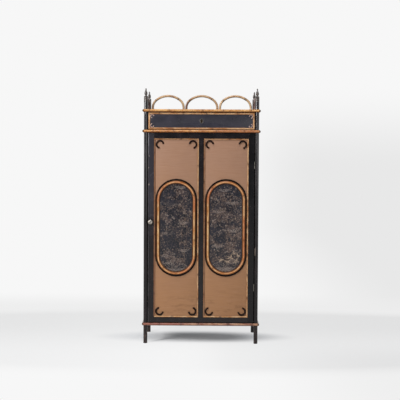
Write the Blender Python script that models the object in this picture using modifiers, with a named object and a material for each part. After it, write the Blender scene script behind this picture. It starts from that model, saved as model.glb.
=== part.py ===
"""A tall narrow cabinet of black lacquered wood, trimmed with half-round and bent cane.

Four turned posts carry three notched boards and the side and back panels. One wide
door of two panels hangs on the right post, a drawer runs above it, and a gallery of
bent cane arches stands on the top. Metres, +Z up, the front faces -Y. Places are in
the cabinet's own coordinates, with zero depth half way between the front and back
posts; the empty that holds everything moves them so that the whole outline is
centred over the origin.
"""

import math

import bmesh
import bpy
from mathutils import Matrix, Vector

# Fits
SEAT = 0.0003  # between pieces that rest on each other
OVERRUN = 0.002  # a cut's run past the faces that it opens
MERGE = 0.00003  # points closer than this are one
SMOOTH_ANGLE = math.radians(35)
BEVEL_ANGLE = math.radians(50)
BEVEL_SEGMENTS = 2

# Cabinet over its posts
WIDTH = 0.748
DEPTH = 0.380

# Posts, with a finial turned on each
POST_D = 0.026
POST_SIDES = 16
FOOT_CHAMFER = 0.0015
SHOULDER_RISE = 0.094
SHOULDER_CHAMFER = 0.002
FINIAL_NECK_H = 0.006
FINIAL_NECK_D = 0.014
FINIAL_BULB_H = 0.012
FINIAL_BULB_D = 0.0205
FINIAL_FLARE_H = 0.020
FINIAL_SPIRE_H = 0.012
FINIAL_SPIRE_D = 0.009
FINIAL_TIP_D = 0.008
BULB_STEPS = 3
FLARE_STEPS = 5

# Boards: the bottom one's middle over the floor, and each next one's over the last
BOARD_T = 0.018
BOTTOM_RISE = 0.127
CUPBOARD_RISE = 1.260
DRAWER_RISE = 0.133

# Side and back panels
SIDE_T = 0.012
UPPER_SIDE_T = 0.020
BACK_T = 0.008
GROOVE_D = 0.006

# Shelves
SHELF_T = 0.014
SHELF_SETBACK = 0.014
DADO_D = 0.004
SHELF_SHARES = (1 / 3, 2 / 3)

# Half-round cane rods over the board edges
ROD_W = 0.018
ROD_H = 0.009
HALF_ROUND_STEPS = 6
NODE_REACH = 0.004
NODE_SWELL_SHARE = 1.09
TOP_ROD_NODE_SHARES = (0.05, 0.22, 0.51, 0.69, 0.93)
MIDDLE_ROD_NODE_SHARES = (0.08, 0.26, 0.40, 0.63, 0.87)
BOTTOM_ROD_NODE_SHARES = (0.14, 0.33, 0.48, 0.74, 0.95)
SIDE_ROD_NODE_SHARES = (0.16, 0.46, 0.82)

# Gallery of bent cane arches
ARCH_D = 0.016
ARCH_GAP = 0.003
ARCH_LEG = 0.0265
ARCH_RISE_SHARE = 0.75  # the bend's height in half widths
ARCH_SHOULDER_SHARE = 0.62  # the tight bends' radius in half widths
ARCH_SHOULDER_STEPS = 5
ARCH_CROWN_STEPS = 8
CANE_RESOLUTION = 2
BACK_ARCH_NODE_SHARES = (0.24, 0.71)
SIDE_ARCH_NODE_SHARES = (0.38, 0.8)

# Door frame
DOOR_RECESS = 0.004
DOOR_T = 0.020
DOOR_SIDE_GAP = 0.003
DOOR_END_GAP = 0.003
STILE_W = 0.0365
MUNTIN_W = 0.030
TOP_RAIL_W = 0.034
BOTTOM_RAIL_W = 0.032
DOOR_GROOVE_D = 0.006

# Door panels and what is laid on them
PANEL_T = 0.008
PANEL_RECESS = 0.005
BORDER_W = 0.0105
BORDER_T = 0.003
BORDER_ROUND = 0.0010
PLAQUE_T = 0.006
PLAQUE_ROUND = 0.0015
PLAQUE_END = 0.0115
PLAQUE_RAISE = 0.003
RING_SIDE = 0.0205  # from the opening's side to the ring
RING_OUTER_H = 0.615
RING_W = 0.019
RING_H = 0.009
RING_STEPS = 14
RING_NODE_SHARES = (0.07, 0.27, 0.44, 0.6, 0.81)

# C scrolls in the corners of the door panels and of the drawer front
SCROLL_D = 0.057
SCROLL_STROKE = 0.0105
DRAWER_SCROLL_D = 0.025
DRAWER_SCROLL_STROKE = 0.0045
SCROLL_OPENING = math.radians(102)
SCROLL_STEPS = 12
SCROLL_RISE_SHARE = 0.08
SCROLL_END_SHARES = (0.62, 0.94)

# Hinges
HINGE_H = 0.045
HINGE_SHARES = (0.187, 0.833)
KNUCKLE_D = 0.006
HINGE_PIN_D = 0.0026
LEAF_T = 0.0012
LEAF_CLEAR = 0.0005
DOOR_LEAF_W = 0.0165
CASE_LEAF_W = 0.0135
KNUCKLES = 3
BARREL_SIDES = 12

# Knob, its rosette and the latch that it turns
KNOB_INSET = 0.0155
KNOB_SHARE = 0.5324
KNOB_D = 0.031
KNOB_BALL_H = 0.017
KNOB_STEPS = 8
KNOB_NECK_D = 0.0115
KNOB_NECK_H = 0.0045
KNOB_FLANGE_D = 0.017
KNOB_FLANGE_H = 0.0022
SPINDLE_D = 0.008
SPINDLE_CLEAR = 0.0005
SPINDLE_PROUD = 0.0015
ROSETTE_D = 0.029
ROSETTE_T = 0.002
ROSETTE_ROUND = 0.0008
TURNED_SIDES = 16
TONGUE_T = 0.004
TONGUE_HUB_D = 0.018
TONGUE_BOSS_D = 0.014
TONGUE_BOSS_H = 0.004
TONGUE_ARM = 0.018
TONGUE_END_D = 0.009
TONGUE_CLEAR = 0.0007
KEEPER_T = 0.0015
KEEPER_GAP = 0.0023
KEEPER_LEG = 0.022
KEEPER_STRIKE = 0.0115
KEEPER_H = 0.040

# Drawer
DRAWER_FRONT_T = 0.018
DRAWER_SIDE_T = 0.010
DRAWER_BOTTOM_T = 0.006
DRAWER_SIDE_GAP = 0.003
DRAWER_FRONT_RISE = 0.0025
DRAWER_TOP_GAP = 0.003
DRAWER_SIDE_DROP = 0.008
DRAWER_BACK_GAP = 0.010
DRAWER_BOTTOM_RISE = 0.008
DRAWER_GROOVE_D = 0.005
DRAWER_BORDER_W = 0.012
DRAWER_BORDER_T = 0.0025
BORDER_INSET = 0.0005

# Drawer lock
LOCK_W = 0.040
LOCK_H = 0.068
LOCK_T = 0.010
BOLT_W = 0.016
BOLT_T = 0.005
BOLT_L = 0.020
BOLT_THROW = 0.008
BOLT_SUNK = 0.0005
BOLT_CLEAR = 0.0008
MORTISE_SPARE = 0.0015
KEYHOLE_D = 0.0066
KEYHOLE_SLOT_W = 0.0032
KEYHOLE_DROP = 0.0095
KEYHOLE_BLIND = 0.004
KEYHOLE_STEPS = 10
ESCUTCHEON_W = 0.022
ESCUTCHEON_H = 0.031
ESCUTCHEON_T = 0.0015
ESCUTCHEON_STEPS = 24

# Worked out from the sizes above
POST_R = POST_D / 2
POST_X = WIDTH / 2 - POST_R
POST_Y = DEPTH / 2 - POST_R
CLEAR_X = POST_X - POST_R
CLEAR_Y = POST_Y - POST_R
FRONT = -DEPTH / 2
BOTTOM_Z = BOTTOM_RISE
DIVIDER_Z = BOTTOM_Z + CUPBOARD_RISE
TOP_Z = DIVIDER_Z + DRAWER_RISE
SHOULDER_Z = TOP_Z + SHOULDER_RISE
BULB_Z = SHOULDER_Z + FINIAL_NECK_H + FINIAL_BULB_H
FLARE_Z = BULB_Z + FINIAL_FLARE_H
TIP_Z = FLARE_Z + FINIAL_SPIRE_H
BOTTOM_TOP = BOTTOM_Z + BOARD_T / 2
DIVIDER_UNDER = DIVIDER_Z - BOARD_T / 2
DIVIDER_TOP = DIVIDER_Z + BOARD_T / 2
TOP_UNDER = TOP_Z - BOARD_T / 2
TOP_TOP = TOP_Z + BOARD_T / 2
BACK_FRONT = POST_Y - BACK_T / 2
SIDE_INNER = POST_X - SIDE_T / 2

DOOR_FACE = FRONT + DOOR_RECESS
DOOR_BACK = DOOR_FACE + DOOR_T
DOOR_X = CLEAR_X - DOOR_SIDE_GAP
DOOR_LOW = BOTTOM_TOP + DOOR_END_GAP
DOOR_HIGH = DIVIDER_UNDER - DOOR_END_GAP
OPENING_W = DOOR_X - STILE_W - MUNTIN_W / 2
OPENING_LOW = DOOR_LOW + BOTTOM_RAIL_W
OPENING_HIGH = DOOR_HIGH - TOP_RAIL_W
OPENING_H = OPENING_HIGH - OPENING_LOW
OPENING_X = (MUNTIN_W + OPENING_W) / 2
RING_OUTER_W = OPENING_W - 2 * RING_SIDE
OPENING_Z = (OPENING_LOW + OPENING_HIGH) / 2
PANEL_FACE = DOOR_FACE + PANEL_RECESS
PANEL_BACK = PANEL_FACE + PANEL_T
PLAQUE_W = OPENING_W - 2 * (BORDER_W + 2 * SEAT)
PLAQUE_H = RING_OUTER_H + 2 * PLAQUE_END
PLAQUE_Z = OPENING_Z + PLAQUE_RAISE
PLAQUE_FACE = PANEL_FACE - SEAT - PLAQUE_T

KNUCKLE_R = KNUCKLE_D / 2
KNUCKLE_H = HINGE_H / KNUCKLES
PIN_X = (DOOR_X + CLEAR_X) / 2
PIN_Y = DOOR_FACE - KNUCKLE_R
LEAF_FRONT = PIN_Y + KNUCKLE_R + LEAF_CLEAR

KNOB_X = -DOOR_X + KNOB_INSET
KNOB_Z = DOOR_LOW + KNOB_SHARE * (DOOR_HIGH - DOOR_LOW)
KNOB_L = KNOB_FLANGE_H + KNOB_NECK_H + KNOB_BALL_H
KNOB_TIP = DOOR_FACE - SEAT - ROSETTE_T - SEAT - KNOB_L
STRIKE_BACK = DOOR_BACK + KEEPER_GAP + KEEPER_T
TONGUE_FACE = STRIKE_BACK + TONGUE_CLEAR
TONGUE_BACK = TONGUE_FACE + TONGUE_T
BOSS_BACK = TONGUE_BACK + TONGUE_BOSS_H
SPINDLE_END = BOSS_BACK + SPINDLE_PROUD

DRAWER_X = CLEAR_X - DRAWER_SIDE_GAP
DRAWER_BACK = DOOR_FACE + DRAWER_FRONT_T
DRAWER_LOW = DIVIDER_TOP + SEAT
DRAWER_FRONT_LOW = DIVIDER_TOP + DRAWER_FRONT_RISE
DRAWER_HIGH = TOP_UNDER - DRAWER_TOP_GAP
DRAWER_SIDE_HIGH = DRAWER_HIGH - DRAWER_SIDE_DROP
DRAWER_END = BACK_FRONT - DRAWER_BACK_GAP
DRAWER_Z = (DRAWER_FRONT_LOW + DRAWER_HIGH) / 2
DRAWER_FLOOR = DRAWER_LOW + DRAWER_BOTTOM_RISE
DRAWER_FLOOR_TOP = DRAWER_FLOOR + DRAWER_BOTTOM_T
DRAWER_INNER = DRAWER_X - DRAWER_SIDE_T
LOCK_Y = DRAWER_BACK - LOCK_T / 2
BOLT_TOP = DRAWER_HIGH - BOLT_SUNK
MORTISE_TOP = BOLT_TOP + BOLT_THROW + MORTISE_SPARE

# Middle of the whole depth, from the knob's tip to the back posts
DEPTH_SHIFT = -(KNOB_TIP + DEPTH / 2) / 2

UPRIGHT = (0, 0, 0)
TO_FRONT = (math.pi / 2, 0, 0)
TO_RIGHT = (math.pi / 2, 0, math.pi / 2)
TO_LEFT = (math.pi / 2, 0, -math.pi / 2)

for old in list(bpy.data.objects):
    bpy.data.objects.remove(old)

parts = bpy.data.collections.new("cabinet")
cutters = bpy.data.collections.new("cutters")
bpy.context.scene.collection.children.link(parts)
bpy.context.scene.collection.children.link(cutters)
held_at = {}


# Materials

def surface(name, colour, roughness, metallic=0.0):
    made = bpy.data.materials.new(name)
    made.use_nodes = True
    shader = made.node_tree.nodes["Principled BSDF"]
    shader.inputs["Base Color"].default_value = (*colour, 1)
    shader.inputs["Roughness"].default_value = roughness
    shader.inputs["Metallic"].default_value = metallic
    made.diffuse_color = (*colour, 1)
    return made


LACQUER = surface("black_lacquer", (0.022, 0.021, 0.026), 0.32)
INSIDE = surface("stained_inside", (0.05, 0.032, 0.02), 0.6)
CANE = surface("golden_cane", (0.55, 0.31, 0.11), 0.35)
RED_CANE = surface("red_cane", (0.30, 0.11, 0.06), 0.38)
TAN = surface("tan_panel", (0.40, 0.24, 0.14), 0.5)
SCROLLED = surface("dark_drawer", (0.032, 0.031, 0.040), 0.36)
PLAQUE = surface("dark_plaque", (0.025, 0.021, 0.019), 0.35)
PALE_CANE = surface("pale_cane", (0.60, 0.37, 0.20), 0.4)
PEWTER = surface("pewter", (0.34, 0.33, 0.31), 0.35, 1.0)
BRASS = surface("aged_brass", (0.25, 0.19, 0.10), 0.45, 1.0)
STEEL = surface("dull_steel", (0.28, 0.27, 0.26), 0.5, 1.0)


# Placing

def hold(obj, holder, place):
    """Hang an object on an empty, at a place in the cabinet's coordinates."""
    if holder:
        obj.parent = holder
        place = Vector(place) - held_at[holder.name]
    obj.location = place


def axis(name, place, holder=None):
    """An empty that carries what moves together, on the axis that it moves about or along."""
    made = bpy.data.objects.new(name, None)
    parts.objects.link(made)
    hold(made, holder, place)
    held_at[name] = Vector(place) if holder else Vector()
    return made


def placed(name, data, holder, place, turn=UPRIGHT, finish=None):
    """A part when it has a finish, and otherwise a hidden cutter or guide."""
    made = bpy.data.objects.new(name, data)
    made.rotation_euler = turn
    hold(made, holder, place)
    if finish:
        data.materials.append(finish)
        parts.objects.link(made)
    else:
        made.hide_render = True
        made.display_type = "WIRE"
        cutters.objects.link(made)
    return made


def combine(obj, other, operation="DIFFERENCE"):
    made = obj.modifiers.new(other.name, "BOOLEAN")
    made.operation = operation
    made.object = other


def smooth(mesh):
    mesh.shade_smooth()
    mesh.set_sharp_from_angle(angle=SMOOTH_ANGLE)


# Shapes

def block(name, low, high, holder, finish=None):
    """A square-edged block between two opposite corners, with its origin in its middle."""
    middle = (Vector(low) + Vector(high)) / 2
    size = Vector(high) - Vector(low)
    bm = bmesh.new()
    bmesh.ops.create_cube(bm, size=1, matrix=Matrix.Diagonal((*size, 1)))
    mesh = bpy.data.meshes.new(name)
    bm.to_mesh(mesh)
    bm.free()
    return placed(name, mesh, holder, middle, UPRIGHT, finish)


def cut_blocks(made, holder, cuts):
    for index, (low, high) in enumerate(cuts):
        combine(made, block(f"{made.name}_cut_{index}", low, high, holder))


def board(name, low, high, holder, finish, cuts=()):
    """A board between two corners, less the blocks that are cut from it."""
    made = block(name, low, high, holder, finish)
    cut_blocks(made, holder, cuts)
    return made


def turned(name, profile, sides, holder, place, turn=UPRIGHT, finish=None, closed=False):
    """A profile of (radius, height) points, from the top down its outer side, spun about its axis."""
    mesh = bpy.data.meshes.new(name)
    count = len(profile)
    edges = [(i, (i + 1) % count) for i in range(count if closed else count - 1)]
    mesh.from_pydata([(radius, 0, height) for radius, height in profile], edges, [])
    made = placed(name, mesh, holder, place, turn, finish)
    spin = made.modifiers.new("Screw", "SCREW")
    spin.steps = sides
    spin.render_steps = sides
    spin.use_merge_vertices = True
    spin.merge_threshold = MERGE
    spin.use_smooth_shade = True
    return made


def new_spline(curve, points, cyclic):
    """A poly spline through (x, y) or (x, y, swelling) points."""
    spline = curve.splines.new("POLY")
    spline.points.add(len(points) - 1)
    for target, point in zip(spline.points, points):
        target.co = (point[0], point[1], 0, 1)
        target.radius = point[2] if len(point) > 2 else 1
    spline.use_cyclic_u = cyclic


def flat(name, outlines, thickness, holder, place, turn=UPRIGHT, finish=None, rounding=None):
    """A flat piece with the given outlines, holes among them, half its thickness each way."""
    curve = bpy.data.curves.new(name, "CURVE")
    curve.dimensions = "2D"
    curve.fill_mode = "BOTH"
    curve.extrude = thickness / 2
    for outline in outlines:
        new_spline(curve, outline, True)
    made = placed(name, curve, holder, place, turn, finish)
    if rounding:
        weld = made.modifiers.new("Weld", "WELD")
        weld.merge_threshold = MERGE
        edge = made.modifiers.new("Bevel", "BEVEL")
        edge.width = rounding
        edge.segments = BEVEL_SEGMENTS
        edge.limit_method = "ANGLE"
        edge.angle_limit = BEVEL_ANGLE
    return made


def half_round_guide(name, width, height):
    """The section of a half-round cane, its flat side down."""
    curve = bpy.data.curves.new(name, "CURVE")
    curve.dimensions = "2D"
    curve.fill_mode = "NONE"
    angles = [math.pi * (1 - step / HALF_ROUND_STEPS) for step in range(HALF_ROUND_STEPS + 1)]
    new_spline(curve, [(width / 2 * math.cos(a), height * math.sin(a)) for a in angles], True)
    return placed(name, curve, None, (0, 0, 0))


def half_round(name, points, guide, cyclic, holder, place, turn, finish):
    """A half-round cane along a path in one plane, bulging out of that plane."""
    curve = bpy.data.curves.new(name, "CURVE")
    curve.dimensions = "2D"
    curve.fill_mode = "NONE"
    curve.bevel_mode = "OBJECT"
    curve.bevel_object = guide
    curve.use_fill_caps = True
    new_spline(curve, points, cyclic)
    return placed(name, curve, holder, place, turn, finish)


def round_cane_curve(name, paths, diameter):
    """Round canes along paths in one plane."""
    curve = bpy.data.curves.new(name, "CURVE")
    curve.dimensions = "3D"
    curve.bevel_depth = diameter / 2
    curve.bevel_resolution = CANE_RESOLUTION
    curve.use_fill_caps = True
    for path in paths:
        new_spline(curve, path, False)
    return curve


def as_mesh(obj):
    """The curve's mesh in its place, closed, so that it can be joined or cut with."""
    bpy.context.view_layer.update()
    evaluated = obj.evaluated_get(bpy.context.evaluated_depsgraph_get())
    mesh = bpy.data.meshes.new_from_object(evaluated)
    bm = bmesh.new()
    bm.from_mesh(mesh)
    bmesh.ops.remove_doubles(bm, verts=bm.verts, dist=MERGE)
    bm.to_mesh(mesh)
    bm.free()
    smooth(mesh)
    name = obj.name
    made = bpy.data.objects.new(name + "_mesh", mesh)
    made.parent = obj.parent
    made.matrix_world = obj.matrix_world
    made.hide_render = obj.hide_render
    made.display_type = obj.display_type
    obj.users_collection[0].objects.link(made)
    bpy.data.objects.remove(obj)
    made.name = name
    return made


# Paths and outlines

def arc(radius, start, end, steps, centre=(0, 0)):
    """Points along an arc, both ends among them."""
    angles = [start + (end - start) * step / steps for step in range(steps + 1)]
    return [(centre[0] + radius * math.cos(a), centre[1] + radius * math.sin(a)) for a in angles]


def rectangle(width, height):
    return [(x * width / 2, y * height / 2) for x, y in ((-1, -1), (1, -1), (1, 1), (-1, 1))]


def stadium_point(distance, radius, straight):
    """The point so far round an upright outline with straight sides and round ends."""
    half = straight + math.pi * radius
    side = 1 if distance % (2 * half) < half else -1
    along = distance % half
    if along < straight:
        return side * radius, side * (along - straight / 2)
    angle = (along - straight) / radius
    return side * radius * math.cos(angle), side * (straight / 2 + radius * math.sin(angle))


def stadium_breaks(radius, straight, steps):
    """The distances round that outline at which its points lie."""
    half = straight + math.pi * radius
    arcs = [straight + math.pi * radius * step / steps for step in range(steps + 1)]
    return [side * half + distance for side in (0, 1) for distance in arcs]


def stadium(width, height, steps):
    radius = width / 2
    straight = height - width
    return [stadium_point(d, radius, straight) for d in stadium_breaks(radius, straight, steps)]


def with_nodes(breaks, nodes):
    """Distances along a cane with its swelling there: plain at the breaks, thicker at its nodes."""
    plain = [(d, 1) for d in breaks if all(abs(d - node) > 2 * NODE_REACH for node in nodes)]
    swollen = [(node, NODE_SWELL_SHARE) for node in nodes]
    beside = [(node + side * NODE_REACH, 1) for node in nodes for side in (-1, 1)]
    return sorted(plain + swollen + beside)


def straight_cane(length, node_shares):
    """Points along a straight cane, from minus half its length to plus half."""
    nodes = [share * length for share in node_shares]
    return [(d - length / 2, 0, swell) for d, swell in with_nodes([0, length], nodes)]


def arch_cane(outer_width, node_shares):
    """Points of a cane bent to a flat-topped arch on two legs, its feet at zero height."""
    half = (outer_width - ARCH_D) / 2
    rise = half * ARCH_RISE_SHARE
    shoulder = half * ARCH_SHOULDER_SHARE
    leg = ARCH_LEG - SEAT
    sunk = (half - rise) * (half + rise - 2 * shoulder) / (2 * (rise - shoulder))
    crown = rise + sunk
    turn = math.atan2(sunk, half - shoulder)
    bend = leg + shoulder * turn
    length = 2 * (bend + crown * (math.pi / 2 - turn))

    def place(distance):
        along = min(distance, length - distance)
        side = -1 if distance < length / 2 else 1
        if along <= leg:
            return side * half, along
        if along <= bend:
            angle = (along - leg) / shoulder
            return side * (half - shoulder + shoulder * math.cos(angle)), leg + shoulder * math.sin(angle)
        angle = turn + (along - bend) / crown
        return side * crown * math.cos(angle), leg - sunk + crown * math.sin(angle)

    steps = range(ARCH_SHOULDER_STEPS + 1)
    rising = [0] + [leg + (bend - leg) * step / ARCH_SHOULDER_STEPS for step in steps]
    steps = range(1, ARCH_CROWN_STEPS)
    over = [bend + (length - 2 * bend) * step / ARCH_CROWN_STEPS for step in steps]
    breaks = rising + over + [length - distance for distance in reversed(rising)]
    spots = with_nodes(breaks, [share * length for share in node_shares])
    return [(*place(distance), swell) for distance, swell in spots]


def scroll_path(diameter, stroke, corner_x, corner_y):
    """A C that opens towards the middle, in the corner of the signs given."""
    opening = math.atan2(-corner_y, -corner_x)
    start = opening + SCROLL_OPENING / 2
    end = opening + 2 * math.pi - SCROLL_OPENING / 2
    points = arc((diameter - stroke) / 2, start, end, SCROLL_STEPS)
    swell = [1] * len(points)
    for index, share in enumerate(SCROLL_END_SHARES):
        swell[index] = share
        swell[-1 - index] = share
    return [(x, y, s) for (x, y), s in zip(points, swell)]


def corner_scrolls(name, width, height, diameter, stroke, holder, place):
    """Four C scrolls just inside the corners of a field, as one tool to join to its face."""
    paths = []
    for side, level in ((-1, -1), (1, -1), (1, 1), (-1, 1)):
        shift_x = side * ((width - diameter) / 2 - SEAT)
        shift_y = level * ((height - diameter) / 2 - SEAT)
        path = scroll_path(diameter, stroke, side, level)
        paths.append([(x + shift_x, y + shift_y, swell) for x, y, swell in path])
    x, y, z = place
    raised = (x, y - stroke * SCROLL_RISE_SHARE, z)
    return as_mesh(placed(name, round_cane_curve(name, paths, stroke), holder, raised, TO_FRONT))


def keyhole(drop):
    """A round hole with a slot below it."""
    radius = KEYHOLE_D / 2
    lean = math.asin(KEYHOLE_SLOT_W / KEYHOLE_D)
    bow = arc(radius, -math.pi / 2 + lean, 1.5 * math.pi - lean, KEYHOLE_STEPS)
    return bow + [(-KEYHOLE_SLOT_W / 2, -drop), (KEYHOLE_SLOT_W / 2, -drop)]


def round_post(side, end):
    """An outline's corner cut round the post, from the edge at x = side to the edge at y = end."""
    radius = POST_R + SEAT
    relief = radius * math.cos(math.pi / 4)

    def reach(offset):
        return math.sqrt(radius**2 - offset**2) if abs(offset) < relief else relief

    count = POST_SIDES // 2
    around = arc(radius, -math.pi / 4, -math.pi * 5 / 4, count, (POST_X, POST_Y))
    kept = [(x, y) for x, y in around if x < side - SEAT and y < end - SEAT]
    return [(side, POST_Y - reach(side - POST_X)), *kept, (POST_X - reach(end - POST_Y), end)]


def four_corners(front_corner, back_corner):
    """A whole outline from its right-hand corners, each listed from the side edge inwards."""
    front_right = [(x, -y) for x, y in reversed(front_corner)]
    right = front_right + back_corner
    left = [(-x, y) for x, y in reversed(right)]
    return right + left


# The case

def post_profile():
    tip = FINIAL_TIP_D / 2
    spire = FINIAL_SPIRE_D / 2
    bulb = FINIAL_BULB_D / 2
    neck = FINIAL_NECK_D / 2
    profile = [(0, TIP_Z), (tip * 2 / 3, TIP_Z), (tip, TIP_Z - tip / 2)]
    for step in range(FLARE_STEPS):
        share = step / FLARE_STEPS
        swell = (bulb - spire) * (1 - math.cos(math.pi * share)) / 2
        profile.append((spire + swell, FLARE_Z - FINIAL_FLARE_H * share))
    for step in range(BULB_STEPS):
        angle = math.pi / 2 * step / BULB_STEPS
        across = neck + (bulb - neck) * math.cos(angle)
        profile.append((across, BULB_Z - FINIAL_BULB_H * math.sin(angle)))
    profile += [(neck, SHOULDER_Z + FINIAL_NECK_H), (neck, SHOULDER_Z)]
    profile += [(POST_R - SHOULDER_CHAMFER, SHOULDER_Z)]
    profile += [(POST_R, SHOULDER_Z - SHOULDER_CHAMFER), (POST_R, FOOT_CHAMFER)]
    profile += [(POST_R - FOOT_CHAMFER, 0), (0, 0)]
    return profile


def post(name, side, end, cuts):
    """A post at the right (1) or left (-1), front (-1) or back (1), with its grooves."""
    place = (side * POST_X, end * POST_Y, 0)
    made = turned(name, post_profile(), POST_SIDES, cabinet, place, UPRIGHT, LACQUER)
    cut_blocks(made, cabinet, cuts)


def span(one, other):
    """Two corners that differ in sign, put in order."""
    low = tuple(min(pair) for pair in zip(one, other))
    high = tuple(max(pair) for pair in zip(one, other))
    return low, high


def side_groove(side, end):
    """The groove in a post for the lower side panel."""
    near = POST_Y - POST_R - OVERRUN
    far = CLEAR_Y + GROOVE_D
    half = SIDE_T / 2 + SEAT
    return span(
        (side * (POST_X - half), end * near, BOTTOM_TOP),
        (side * (POST_X + half), end * far, DIVIDER_UNDER),
    )


def back_groove(side):
    """The groove in a back post for the back panel."""
    return span(
        (side * (CLEAR_X - OVERRUN), BACK_FRONT - SEAT, BOTTOM_TOP),
        (side * (CLEAR_X + GROOVE_D), POST_Y + BACK_T / 2 + SEAT, TOP_UNDER),
    )


def hinge_gain(z):
    """The flat on the post that a hinge leaf lies on."""
    half = HINGE_H / 2 + SEAT
    return (
        (CLEAR_X - OVERRUN, -POST_Y - POST_R, z - half),
        (CLEAR_X + LEAF_T + SEAT, -POST_Y + POST_R, z + half),
    )


def posts():
    post("post_front_left", -1, -1, [side_groove(-1, -1)])
    post("post_front_right", 1, -1, [side_groove(1, -1)] + [hinge_gain(z) for z in hinge_heights()])
    post("post_back_left", -1, 1, [side_groove(-1, 1), back_groove(-1)])
    post("post_back_right", 1, 1, [side_groove(1, 1), back_groove(1)])


def boards():
    edge = round_post(WIDTH / 2, DEPTH / 2)
    inner = round_post(WIDTH / 2, BACK_FRONT - SEAT)
    whole = four_corners(edge, edge)
    flat("bottom_board", [whole], BOARD_T, cabinet, (0, 0, BOTTOM_Z), UPRIGHT, LACQUER)
    short = four_corners(edge, inner)
    flat("divider_board", [short], BOARD_T, cabinet, (0, 0, DIVIDER_Z), UPRIGHT, LACQUER)
    top = flat("top_board", [whole], BOARD_T, cabinet, (0, 0, TOP_Z), UPRIGHT, LACQUER)
    half_x = BOLT_W / 2 + BOLT_CLEAR
    half_y = BOLT_T / 2 + BOLT_CLEAR
    low = (-half_x, LOCK_Y - half_y, TOP_UNDER - OVERRUN)
    cut_blocks(as_mesh(top), cabinet, [(low, (half_x, LOCK_Y + half_y, MORTISE_TOP))])


def shelf_heights():
    return [BOTTOM_TOP + share * (DIVIDER_UNDER - BOTTOM_TOP) for share in SHELF_SHARES]


def panels():
    end = CLEAR_Y + GROOVE_D - SEAT
    low = BOTTOM_TOP + SEAT
    high = DIVIDER_UNDER - SEAT
    shelf_front = DOOR_BACK + SHELF_SETBACK
    for side, word in ((-1, "left"), (1, "right")):
        dadoes = []
        for z in shelf_heights():
            half = SHELF_T / 2 + SEAT
            near = (side * (SIDE_INNER - OVERRUN), shelf_front - SEAT, z - half)
            far = (side * (SIDE_INNER + DADO_D), end + OVERRUN, z + half)
            dadoes.append(span(near, far))
        corners = span((side * SIDE_INNER, -end, low), (side * (SIDE_INNER + SIDE_T), end, high))
        board(f"side_panel_{word}_lower", *corners, cabinet, LACQUER, dadoes)
        near = (side * CLEAR_X, -CLEAR_Y + SEAT, DIVIDER_TOP + SEAT)
        far = (side * (CLEAR_X + UPPER_SIDE_T), CLEAR_Y - SEAT, TOP_UNDER - SEAT)
        board(f"side_panel_{word}_upper", *span(near, far), cabinet, LACQUER)
    reach = CLEAR_X + GROOVE_D - SEAT
    near = (-reach, BACK_FRONT, BOTTOM_TOP + SEAT)
    far = (reach, BACK_FRONT + BACK_T, TOP_UNDER - SEAT)
    board("back_panel", near, far, cabinet, INSIDE)
    side = SIDE_INNER + DADO_D - SEAT
    outline = four_corners([(side, -shelf_front)], round_post(side, BACK_FRONT - SEAT))
    for z, word in zip(shelf_heights(), ("lower", "upper")):
        flat(f"shelf_{word}", [outline], SHELF_T, cabinet, (0, 0, z), UPRIGHT, INSIDE)


def rods():
    """Half-round canes nailed over the edges of the three boards, in front and on both sides."""
    guide = half_round_guide("rod_section", ROD_W, ROD_H)
    levels = (
        ("top", TOP_Z, TOP_ROD_NODE_SHARES, CANE),
        ("middle", DIVIDER_Z, MIDDLE_ROD_NODE_SHARES, CANE),
        ("bottom", BOTTOM_Z, BOTTOM_ROD_NODE_SHARES, RED_CANE),
    )
    for word, z, shares, finish in levels:
        points = straight_cane(WIDTH, shares)
        place = (0, FRONT - SEAT, z)
        half_round(f"rod_front_{word}", points, guide, False, cabinet, place, TO_FRONT, finish)
        points = straight_cane(DEPTH, SIDE_ROD_NODE_SHARES)
        for side, side_word, turn in ((-1, "left", TO_LEFT), (1, "right", TO_RIGHT)):
            place = (side * (WIDTH / 2 + SEAT), 0, z)
            name = f"rod_{side_word}_{word}"
            half_round(name, points, guide, False, cabinet, place, turn, finish)


def arch_row(clear, words, node_shares):
    """An arch's path, and how far each named arch stands from the middle of the row."""
    count = len(words)
    width = (2 * clear - (count + 1) * ARCH_GAP) / count
    middle = (count - 1) / 2
    row = [((index - middle) * (width + ARCH_GAP), word) for index, word in enumerate(words)]
    return arch_cane(width, node_shares), row


def gallery():
    """Bent cane arches that stand on the top between the posts."""
    words = ("left", "middle", "right")
    path, row = arch_row(CLEAR_X, words, BACK_ARCH_NODE_SHARES)
    for along, word in row:
        name = f"arch_back_{word}"
        place = (along, POST_Y, TOP_TOP + SEAT)
        placed(name, round_cane_curve(name, [path], ARCH_D), cabinet, place, TO_FRONT, CANE)
    words = ("front", "back")
    path, row = arch_row(CLEAR_Y, words, SIDE_ARCH_NODE_SHARES)
    for side, side_word, turn in ((-1, "left", TO_LEFT), (1, "right", TO_RIGHT)):
        for along, word in row:
            name = f"arch_{side_word}_{word}"
            place = (side * POST_X, along, TOP_TOP + SEAT)
            placed(name, round_cane_curve(name, [path], ARCH_D), cabinet, place, turn, RED_CANE)


# The door

def hinge_heights():
    return [DOOR_LOW + share * (DOOR_HIGH - DOOR_LOW) for share in HINGE_SHARES]


def groove_span(low_x, high_x, low_z, high_z):
    """The room that a door panel's groove or stub tenon takes in the thickness of the frame."""
    return ((low_x, PANEL_FACE - SEAT, low_z), (high_x, PANEL_BACK + SEAT, high_z))


def cheeks(low_x, high_x, low_z, high_z):
    """What is cut from both faces of a bar's end to leave a tenon as thick as the panel."""
    front = ((low_x, DOOR_FACE - OVERRUN, low_z), (high_x, PANEL_FACE, high_z))
    back = ((low_x, PANEL_BACK, low_z), (high_x, DOOR_BACK + OVERRUN, high_z))
    return [front, back]


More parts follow.
